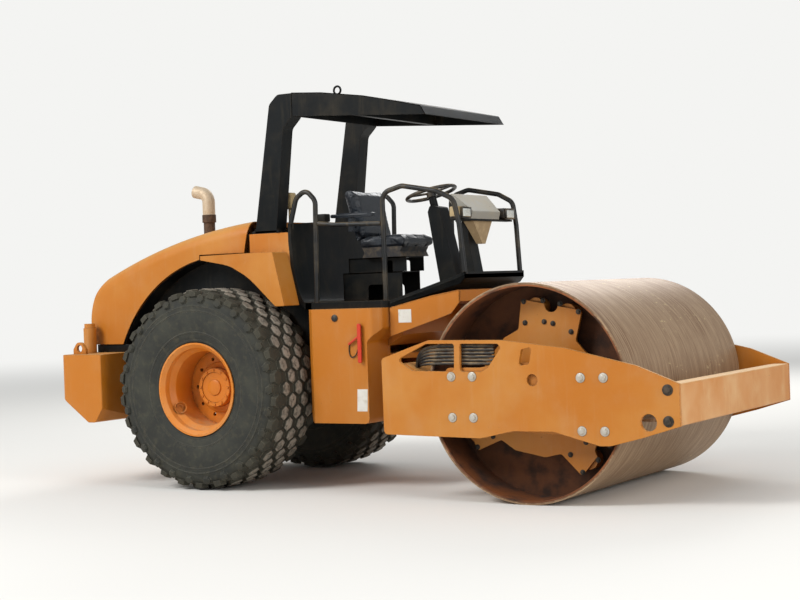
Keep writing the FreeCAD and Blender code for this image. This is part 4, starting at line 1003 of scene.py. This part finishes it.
@dataclass
class DriveBolts:
    """Bolts of the rubber buffers on one drive plate."""

    side: Side
    face_y: float = 0.850
    buffer_r: float = 0.548
    half_angle: float = 12.7
    spread: float = 0.073
    arms: tuple[float, float, float] = (79.0, 199.0, 319.0)

    def build(self, shop: Shop) -> None:
        """Put four bolts over each buffer."""
        centre = at(WHEELBASE, 0, 750)
        places = []
        for arm in self.arms:
            for lean in (-self.half_angle, self.half_angle):
                angle = math.radians(arm + lean)
                out = Vector((math.cos(angle), 0, math.sin(angle)))
                along = Vector((-math.sin(angle), 0, math.cos(angle)))
                middle = centre + out * self.buffer_r + Vector((0, self.side.value * self.face_y, 0))
                places += [middle + out * (self.spread * a) + along * (self.spread * b)
                           for a in (-1, 1) for b in (-1, 1)]
        piece = Bolts("buffer_bolts_" + self.side.word, places, Vector((0, self.side.value, 0)), 0.022, 0.011).build()
        shop.sell(piece, "bolt_black", "drum")


@dataclass
class Seat:
    """Operator's seat: stuffed cushion and back over their plain solids."""

    voxel: float = 0.006
    swell: float = 0.022

    def pad(self, node: str, name: str, inset: float, bulge: float, shop: Shop) -> bpy.types.Object:
        """Stuff a pad inside a node's outline.

        Args:
            node: The plain solid that it stands for.
            name: The piece's name.
            inset: How far the unstuffed shape lies inside the solid.
            bulge: The most that a point may move while it is stuffed.
            shop: The finishes.

        Returns:
            The stuffed piece.
        """
        form = Form()
        form.bm.from_mesh(frame["nodes"][node].data)
        bmesh.ops.remove_doubles(form.bm, verts=form.bm.verts, dist=1e-5)
        low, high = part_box(node)
        middle = (low + high) / 2
        size = high - low
        shrink = Matrix.Diagonal((*[1 - 2 * inset / size[i] for i in range(3)], 1.0))
        form.placed(form.bm.verts, Matrix.Translation(middle) @ shrink @ Matrix.Translation(-middle))
        piece = form.piece(name)
        remesh = piece.modifiers.new("remesh", "REMESH")
        remesh.mode = "VOXEL"
        remesh.voxel_size = self.voxel
        bake(piece)
        rest = [v.co.copy() for v in piece.data.vertices]
        cloth = piece.modifiers.new("cloth", "CLOTH")
        cloth.settings.use_pressure = True
        cloth.settings.uniform_pressure_force = 4.0
        cloth.settings.effector_weights.gravity = 0.0
        cloth.settings.quality = 5
        for step in range(1, 21):
            bpy.context.scene.frame_set(step)
        bake(piece)
        for vertex, start in zip(piece.data.vertices, rest):
            move = vertex.co - start
            if move.length > bulge:
                vertex.co = start + move.normalized() * bulge
        bpy.context.scene.frame_set(1)
        smooth = piece.modifiers.new("smooth", "SUBSURF")
        smooth.levels = 1
        smooth.render_levels = 1
        bake(piece)
        piece.data.shade_smooth()
        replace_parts(piece, node)
        return shop.sell(piece, "seat_vinyl", "rear_frame")

    def build(self, shop: Shop) -> None:
        """Stuff cushion and back."""
        self.pad("seat_cushion", "seat_cushion_pad", 0.012, 0.020, shop)
        self.pad("seat_back", "seat_back_pad", 0.012, 0.020, shop)


def bake(piece: bpy.types.Object) -> None:
    """Apply all modifiers of a piece to its mesh."""
    graph = bpy.context.evaluated_depsgraph_get()
    mesh = bpy.data.meshes.new_from_object(piece.evaluated_get(graph))
    old = piece.data
    piece.modifiers.clear()
    piece.data = mesh
    bpy.data.meshes.remove(old)


@dataclass
class WorkLamps:
    """Bezels and lenses on the front faces of the two work lamps."""

    housing: str = "work_lamps"
    width: float = 0.145
    rim: float = 0.010
    # Columns: side, finish of its cap
    caps: tuple = ((1, "wheel_plastic"), (-1, "beige"))

    def build(self, shop: Shop) -> None:
        """Model a bezel, a lens and a cap on each housing."""
        low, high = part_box(self.housing)
        bezel, lens = Form(), Form()
        for sign, finish in self.caps:
            outer = high.y if sign > 0 else low.y
            span = sorted((outer, outer - sign * self.width))
            near = Vector((high.x - 0.010, span[0] + 0.004, low.z + 0.004))
            far = Vector((high.x + 0.006, span[1] - 0.004, high.z - 0.004))
            ring = bezel.box(near, far, 0.004)
            front = max({f for v in ring for f in v.link_faces}, key=lambda f: f.calc_center_median().x)
            bmesh.ops.inset_region(bezel.bm, faces=[front], thickness=self.rim, depth=-0.006)
            inset = Vector((0, self.rim, self.rim))
            lens.box(near + inset, far - inset - Vector((0.002, 0, 0)), 0.003)
            cap = Form()
            cap.box(Vector((low.x - 0.004, span[0] - 0.003, low.z + 0.012)),
                    Vector((high.x - 0.012, span[1] + 0.003, high.z + 0.003)), 0.010)
            name = "lamp_cap_left" if sign > 0 else "lamp_cap_right"
            shop.sell(cap.piece(name), finish, "rear_frame")
        shop.sell(bezel.piece("lamp_bezels"), "lamp_housing", "rear_frame")
        shop.sell(lens.piece("lamp_lenses"), "lens", "rear_frame")


@dataclass(frozen=True)
class Hoses:
    """Hydraulic hoses that lie along the inside of the right side plate, in millimetres from the rear axle."""

    count: int = 6
    radius: float = 10.0
    lowest: float = 957.0
    step: float = 24.0

    def build(self, shop: Shop) -> None:
        """Fan the hoses out from above the rear beam."""
        for index in range(self.count):
            height = self.lowest + self.step * index
            route = [at(*point) for point in (
                (1912 + 8 * index, -955 - 11 * index, 915), (1950 + 5 * index, -985 - 11 * index, 940 + 14 * index),
                (2070, -1064, height), (2300, -1066, height + 3), (2450, -1066, height - 2), (2600, -1066, height))]
            line = smooth_line(route, 8)
            form = Form()
            form.tube(route, self.radius * MM, steps=8)
            piece = shop.sell(form.piece(f"hose_{index + 1}"), "hose", "yoke")


@dataclass(frozen=True)
class Fitting:
    """A small part made of boxes, bars, tubes and plates, in millimetres from the rear axle."""

    name: str
    finish: str
    slot: str
    body: str = "rear_frame"
    # Columns: low corner, high corner, chamfer
    boxes: tuple = ()
    # Columns: start, end, radius, sides
    bars: tuple = ()
    # Columns: radius, route
    tubes: tuple = ()
    # Columns: corners, thickness as a direction
    plates: tuple = ()

    def build(self, shop: Shop) -> None:
        """Model the part and hang it on its body."""
        form = Form()
        for low, high, chamfer in self.boxes:
            form.box(at(*low), at(*high), chamfer * MM)
        for start, end, radius, sides in self.bars:
            way = at(*end) - at(*start)
            form.prism(at(*start), way, radius * MM, way.length, sides, chamfer=min(1.5, radius * 0.15) * MM)
        for radius, route in self.tubes:
            form.tube([at(*point) for point in route], radius * MM)
        for corners, thickness in self.plates:
            form.plate([at(*corner) for corner in corners], Vector(thickness) * MM)
        shop.sell(form.piece(self.name), self.finish, self.body)


SEAT_FITTINGS = (
    Fitting("case_behind_seat", "black_paint", "black_paint",
            boxes=(((744, -440, 2016), (843, -360, 2077), 8), ((610, -420, 2010), (780, -380, 2018), 1))),
    Fitting("canister", "beige", "dash_grey", boxes=(((455, -440, 2132), (533, -360, 2259), 12),),
            bars=(((494, -400, 1944), (494, -400, 2134), 12, 16),)),
    Fitting("arm_pad", "seat_vinyl", "seat_vinyl", boxes=(((806, -312, 2046), (1152, -253, 2074), 10),)),
)
PANEL_FITTINGS = (
    Fitting("stack_sleeve", "rust_dark", "exhaust_steel", "hood",
            bars=(((-605, 0, 1960), (-605, 0, 2091), 47.5, 32), ((-605, 0, 2088), (-605, 0, 2152), 57.5, 32))),
    Fitting("hood_sill", "black_paint", "black_paint",
            boxes=(((-1340, -600, 1046.5), (-1330, 600, 1108), 1), ((-1340, -606, 1046.5), (-930, -598, 1108), 1),
                   ((-1340, 598, 1046.5), (-930, 606, 1108), 1))),
    # Painted shade: black sheets that close the engine bay behind the arch panels, where the bay lies in shadow.
    Fitting("bay_shade_sheet_right", "black_paint", "black_paint",
            plates=((((-1340, -443, 1048), (-1340, -443, 1170), (-1250, -443, 1330), (-1040, -443, 1330),
                      (-1040, -443, 1048)), (0, 4, 0)),)),
    Fitting("bay_shade_sheet_left", "black_paint", "black_paint",
            plates=((((-1340, 439, 1048), (-1340, 439, 1170), (-1250, 439, 1330), (-1040, 439, 1330),
                      (-1040, 439, 1048)), (0, 4, 0)),)),
    Fitting("sticker_on_nose", "label", "dash_grey",
            plates=((((1560, -585.6, 1235), (1657, -564.3, 1235), (1657, -564.3, 1332), (1560, -585.6, 1332)),
                     (0.4, -1.6, 0)),)),
    Fitting("sticker_on_tank", "label", "dash_grey",
            plates=((((1272, -739.8, 592), (1360, -739.8, 592), (1367, -739.8, 755), (1279, -739.8, 755)),
                     (0, -1.2, 0)),)),
    Fitting("panel_plug", "wheel_plastic", "wheel_plastic",
            bars=(((1100, -738, 1283), (1100, -749, 1283), 26, 32), ((1100, -748, 1283), (1100, -753, 1283), 17, 24))),
    Fitting("lock_handle", "lock_red", "lock_red",
            bars=(((1325, -760, 1150), (1227, -758, 1088), 9, 16), ((1227, -752, 1092), (1227, -738, 1092), 8, 16))),
    Fitting("lock_chain", "bolt_black", "axle_paint",
            tubes=((4, ((1227, -748, 1088), (1217, -746, 1040), (1235, -747, 985), (1280, -748, 1000),
                        (1307, -751, 1060), (1319, -757, 1120))),)),
)


@dataclass(frozen=True)
class Bodywork:
    """Sheet-metal forms of the platform and canopy, in millimetres from the rear axle."""

    half: float = 600.0
    sheet: float = 5.0
    frame_half: float = 440.0
    floor_top: float = 1400.0
    floor_front: float = 1496.0
    nose_front: float = 2065.0
    nose_loss: float = 125.0
    cowl_back: float = 251.0
    cowl_top: float = 1945.0
    shelf: float = 1985.0
    arch: tuple = (-10.0, 650.0)
    arch_r: float = 1137.0
    # Columns: place along the machine, height; from the top down to the floor
    wall_back: tuple = ((608, 2012), (607, 1876), (624, 1657), (660, 1492), (704, 1392), (746, 1350))

    def roof(self, shop: Shop) -> None:
        """Model the roof as a pan that is open below, with one lifting eye."""
        top = ((691, 3004), (961, 2982, 400), (1333, 2926, 400), (1822, 2813, 20))
        under = ((1860, 2743), (1819, 2808, 14), (1333, 2921, 400), (961, 2977, 400), (696, 2999), (696, 2824))
        form = Form()
        form.slab(((691, 2824),) + top + ((1865, 2743),) + under, -612, 612)
        for edge in (-612, 612 - self.sheet):
            form.slab(((691, 2824),) + top + ((1865, 2743),), edge, edge + self.sheet)
        form.slab(((1180, 2796), (1180, 2880), (1250, 2880), (1250, 2791)), -607, 607)
        eye = [(MM * (30 + 8 * math.cos(a)), MM * 8 * math.sin(a)) for a in (math.tau * k / 12 for k in range(12))]
        form.turned(eye, at(1077, -560, 2990), Vector((0, 1, 0)), 32, True)
        form.prism(at(1077, -560, 2952), Vector((0, 0, 1)), 0.010, 0.014, 16)
        shop.sell(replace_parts(form.piece("canopy_pan"), "canopy_roof"), "black_paint", "rear_frame")

    def posts(self, shop: Shop) -> None:
        """Model both posts of the canopy on their feet."""
        side = ((311, 1950), (481, 2929, 60), (560, 3000, 60), (691, 3000), (691, 2824, 60), (605, 2740, 60),
                (509, 1950))
        for way in Side:
            form = Form()
            low, high = sorted((way.value * 482, way.value * 612))
            form.slab(side, low, high)
            form.box(at(280, low, self.cowl_top), at(528, high, self.cowl_top + 20))
            for x in (300, 508):
                for y in (low + 22, high - 22):
                    form.prism(at(x, y, self.cowl_top + 20), Vector((0, 0, 1)), 0.013, 0.010, 6)
            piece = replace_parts(form.piece("canopy_leg_" + way.word), "canopy_post_" + way.word)
            shop.sell(piece, "black_paint", "rear_frame")

    def cowl(self, shop: Shop) -> None:
        """Model the closed body under the canopy's feet, with the hood's hinges."""
        back = self.cowl_back
        behind = ((607.5, self.cowl_top),) + self.wall_back[1:]
        form = Form()
        form.slab(((back, 1040), (back, self.cowl_top)) + behind + ((830, 1350), (830, 1040)),
                  -self.frame_half, self.frame_half)
        cut = ring_arc(self.arch, self.arch_r, back, 640.7)
        flank = cut + [(624, 1657), (607, 1876), (607.5, self.cowl_top), (back, self.cowl_top)]
        for low, high in ((-self.half, -self.frame_half), (self.frame_half, self.half)):
            form.slab(flank, low, high)
        form.slab(((back, -612), (500, -612), (607.5, -580), (607.5, 580), (500, 612), (back, 612)),
                  1795, self.cowl_top, "plan")
        for y in (-300, 300):
            for low in (y - 20, y + 10):
                form.slab(((back, 1944), (260, 2004), (276, 2008), (322, 1944)), low, low + 10)
                form.prism(at(262, low, 2006), Vector((0, 1, 0)), 0.016, 0.010, 20)
            form.prism(at(262, y - 20, 2006), Vector((0, 1, 0)), 0.010, 0.040, 20)
        shop.sell(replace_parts(form.piece("cowl_body"), "rear_cowl"), "orange_paint", "rear_frame")

    def wall(self, shop: Shop) -> None:
        """Model the wall that rises from the floor behind the seat."""
        thick = 28
        front = [(x + thick, z) for x, z in self.wall_back[:-2]] + [(732, self.floor_top + 1, 60)]
        outline = list(self.wall_back) + [(800, 1350), (800, self.floor_top + 1)] + front[::-1]
        form = Form()
        form.slab(outline, -self.half, self.half)
        shop.sell(form.piece("rear_wall"), "black_paint", "rear_frame")

    def arches(self, shop: Shop) -> None:
        """Model the liner and the inner panel of both wheel arches."""
        outer = ring_arc(self.arch, self.arch_r, -1070, 640)
        inner = ring_arc(self.arch, self.arch_r - 4, -1066, 638)
        panel = ring_arc(self.arch, self.arch_r - 5, -1045, 638)
        panel += [(660, 1492), (704, 1392), (746, 1350), (827, 1347), (827, 980), (-922, 980), (-922, 1049),
                  (-1045, 1049)]
        for way in Side:
            form = Form()
            low, high = sorted((way.value * self.frame_half, way.value * (self.half - 1)))
            form.slab(outer + inner[::-1], low, high)
            low, high = sorted((way.value * self.frame_half, way.value * (self.frame_half + 4)))
            form.slab(panel, low, high)
            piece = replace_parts(form.piece("arch_liner_" + way.word), "wheel_arch_" + way.word)
            shop.sell(piece, "black_paint", "rear_frame")

    def fenders(self, shop: Shop) -> None:
        """Model the box fenders ahead of the tyres, which run out towards the rear."""
        side = ((-230, 1795), (100, 1795), (300, 1795), (595, 1795, 12), (690, 1385, 10), (606, 1384, 30),
                (280, 1690, 640), (-230, 1762))
        for way in Side:
            form = Form()
            for vertex in form.slab(side, way.value * self.half, way.value * 800):
                short = max(0.0, at(260, 0, 0).x - vertex.co.x)
                if abs(vertex.co.y) > 0.7:
                    vertex.co.y -= way.value * 0.178 * short / 0.49
            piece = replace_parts(form.piece("box_fender_" + way.word), "fender_" + way.word)
            shop.sell(piece, "orange_paint", "rear_frame")

    def nose(self, shop: Shop) -> None:
        """Model the foot tray and the frame's wedge below it."""
        front, floor = self.nose_front, self.floor_front
        tray = Form()
        made = tray.slab(((floor, 1350), (2028, 1505), (front, 1545), (front, 1575), (1978, 1538, 30), (1526, 1388),
                          (floor, 1378)), -self.half, self.half)
        made += tray.slab(((2041, 1530), (front, 1545), (front, 1592), (2041, 1583)), -self.half, self.half)
        for low in (-self.half, self.half - 22):
            made += tray.slab(((floor, 1350), (2028, 1505), (front, 1545), (front, 1592), (1978, 1560, 30),
                               (floor, self.floor_top)), low, low + 22)
        tray.narrow(made, floor, front, self.nose_loss)
        shop.sell(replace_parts(tray.piece("foot_tray"), "platform_nose"), "black_paint", "rear_frame")
        wedge = Form()
        skin = ((floor, 1346), (1804, 1419), (2026, 1460), (2023, 1378, 10), (1957, 1293, 30), (1850, 1254),
                (1678, 1197), (floor, 1136))
        made = wedge.slab(((2018, 1455), (2026, 1460), (2023, 1378), (2015, 1378)), -self.half, self.half)
        made += wedge.slab(((floor, 1344), (1804, 1417), (2018, 1455), (2018, 1463), (1804, 1425), (floor, 1349)),
                           -self.half, self.half)
        for low in (-self.half, self.half - 8):
            made += wedge.slab(skin, low, low + 8)
        wedge.narrow(made, floor, front, self.nose_loss)
        wedge.slab(((1375, 1060), (floor, 1136), (floor + 8, 1143), (floor + 8, 1346), (1375, 1346)),
                   -self.frame_half, self.frame_half)
        shop.sell(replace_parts(wedge.piece("frame_wedge"), "platform_nose"), "frame_orange", "rear_frame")

    def stand(self, shop: Shop) -> None:
        """Model the lamps' shelf on its bent post."""
        low = self.shelf - 14
        form = Form()
        form.box(at(1940, -445, low), at(1996, 445, self.shelf), 0.003)
        form.box(at(1826, -155, low), at(1976, 155, self.shelf - 1))
        form.slab(((1810, 1505), (1946, 1505), (1884, 1845, 20), (1884, low), (1830, low), (1796, 1845, 20)), -65, 65)
        shop.sell(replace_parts(form.piece("lamp_shelf"), "lamp_stand"), "black_paint", "rear_frame")

    def dash(self, shop: Shop) -> None:
        """Model the thin sloping panel and the funnel under it."""
        panel = Form()
        made = panel.slab(((1836, 2136, 8), (1865, 2180, 10), (2014, 2040, 10), (1996, self.shelf),
                           (1936, self.shelf, 10)), -272, 272)
        panel.narrow([v for v in made if v.co.x > at(1865, 0, 0).x], 1865, 2014, 57)
        shop.sell(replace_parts(panel.piece("dash_cover"), "dash_panel"), "dash_grey", "rear_frame")
        funnel = Form()
        for vertex in funnel.box(at(1892, -150, 1800), at(1975, 150, self.shelf - 12)):
            if vertex.co.z < at(0, 0, 1900).z:
                vertex.co.y /= 6
                vertex.co.x += 0.4 * (at(1985, 0, 0).x - vertex.co.x)
        shop.sell(funnel.piece("wire_funnel"), "shroud_tan", "rear_frame")

    def seat_stand(self, shop: Shop) -> None:
        """Model the seat's stand: two sheet channels, one on the other."""
        form = Form()
        # Columns: rear, front, half width, foot, top, opening's rear, front, top and corner radius
        for rear, front, half, low, high, back, ahead, crown, radius in (
                (796, 1330, 138, self.floor_top, 1617, 1020, 1190, 1521, 35),
                (850, 1372, 134, 1617, 1730, 1150, 1250, 1704, 20)):
            side = ((rear, low), (rear, high), (front, high), (front, low), (ahead, low), (ahead, crown, radius),
                    (back, crown, radius), (back, low))
            for y in (-half, half - 8):
                form.slab(side, y, y + 8)
            form.box(at(rear, -half, high - 8), at(front, half, high))
            form.box(at(rear, -half, low), at(rear + 8, half, high))
        shop.sell(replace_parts(form.piece("seat_channels"), "seat_base"), "black_paint", "rear_frame")

    def build(self, shop: Shop) -> None:
        """Model every form."""
        for make in (self.roof, self.posts, self.cowl, self.wall, self.arches, self.fenders, self.nose, self.stand, self.dash,
                     self.seat_stand):
            make(shop)


def main() -> None:
    """Build the looks and the studio."""
    logging.basicConfig(level=logging.INFO, format="%(name)s: %(message)s")
    Studio().build()
    shop = Shop(at(WHEELBASE, 0, 750), at(0, 0, 770))
    shop.dress_frame()
    for side in Side:
        Tyre(side).build(shop)
        WheelTrim(side).build(shop)
        YokeTrim(side).build(shop)
        DriveBolts(side).build(shop)
    WorkLamps().build(shop)
    Bodywork().build(shop)
    Hoses().build(shop)
    for fitting in SEAT_FITTINGS + PANEL_FITTINGS:
        fitting.build(shop)
    Seat().build(shop)


if __name__ == "__main__":
    main()
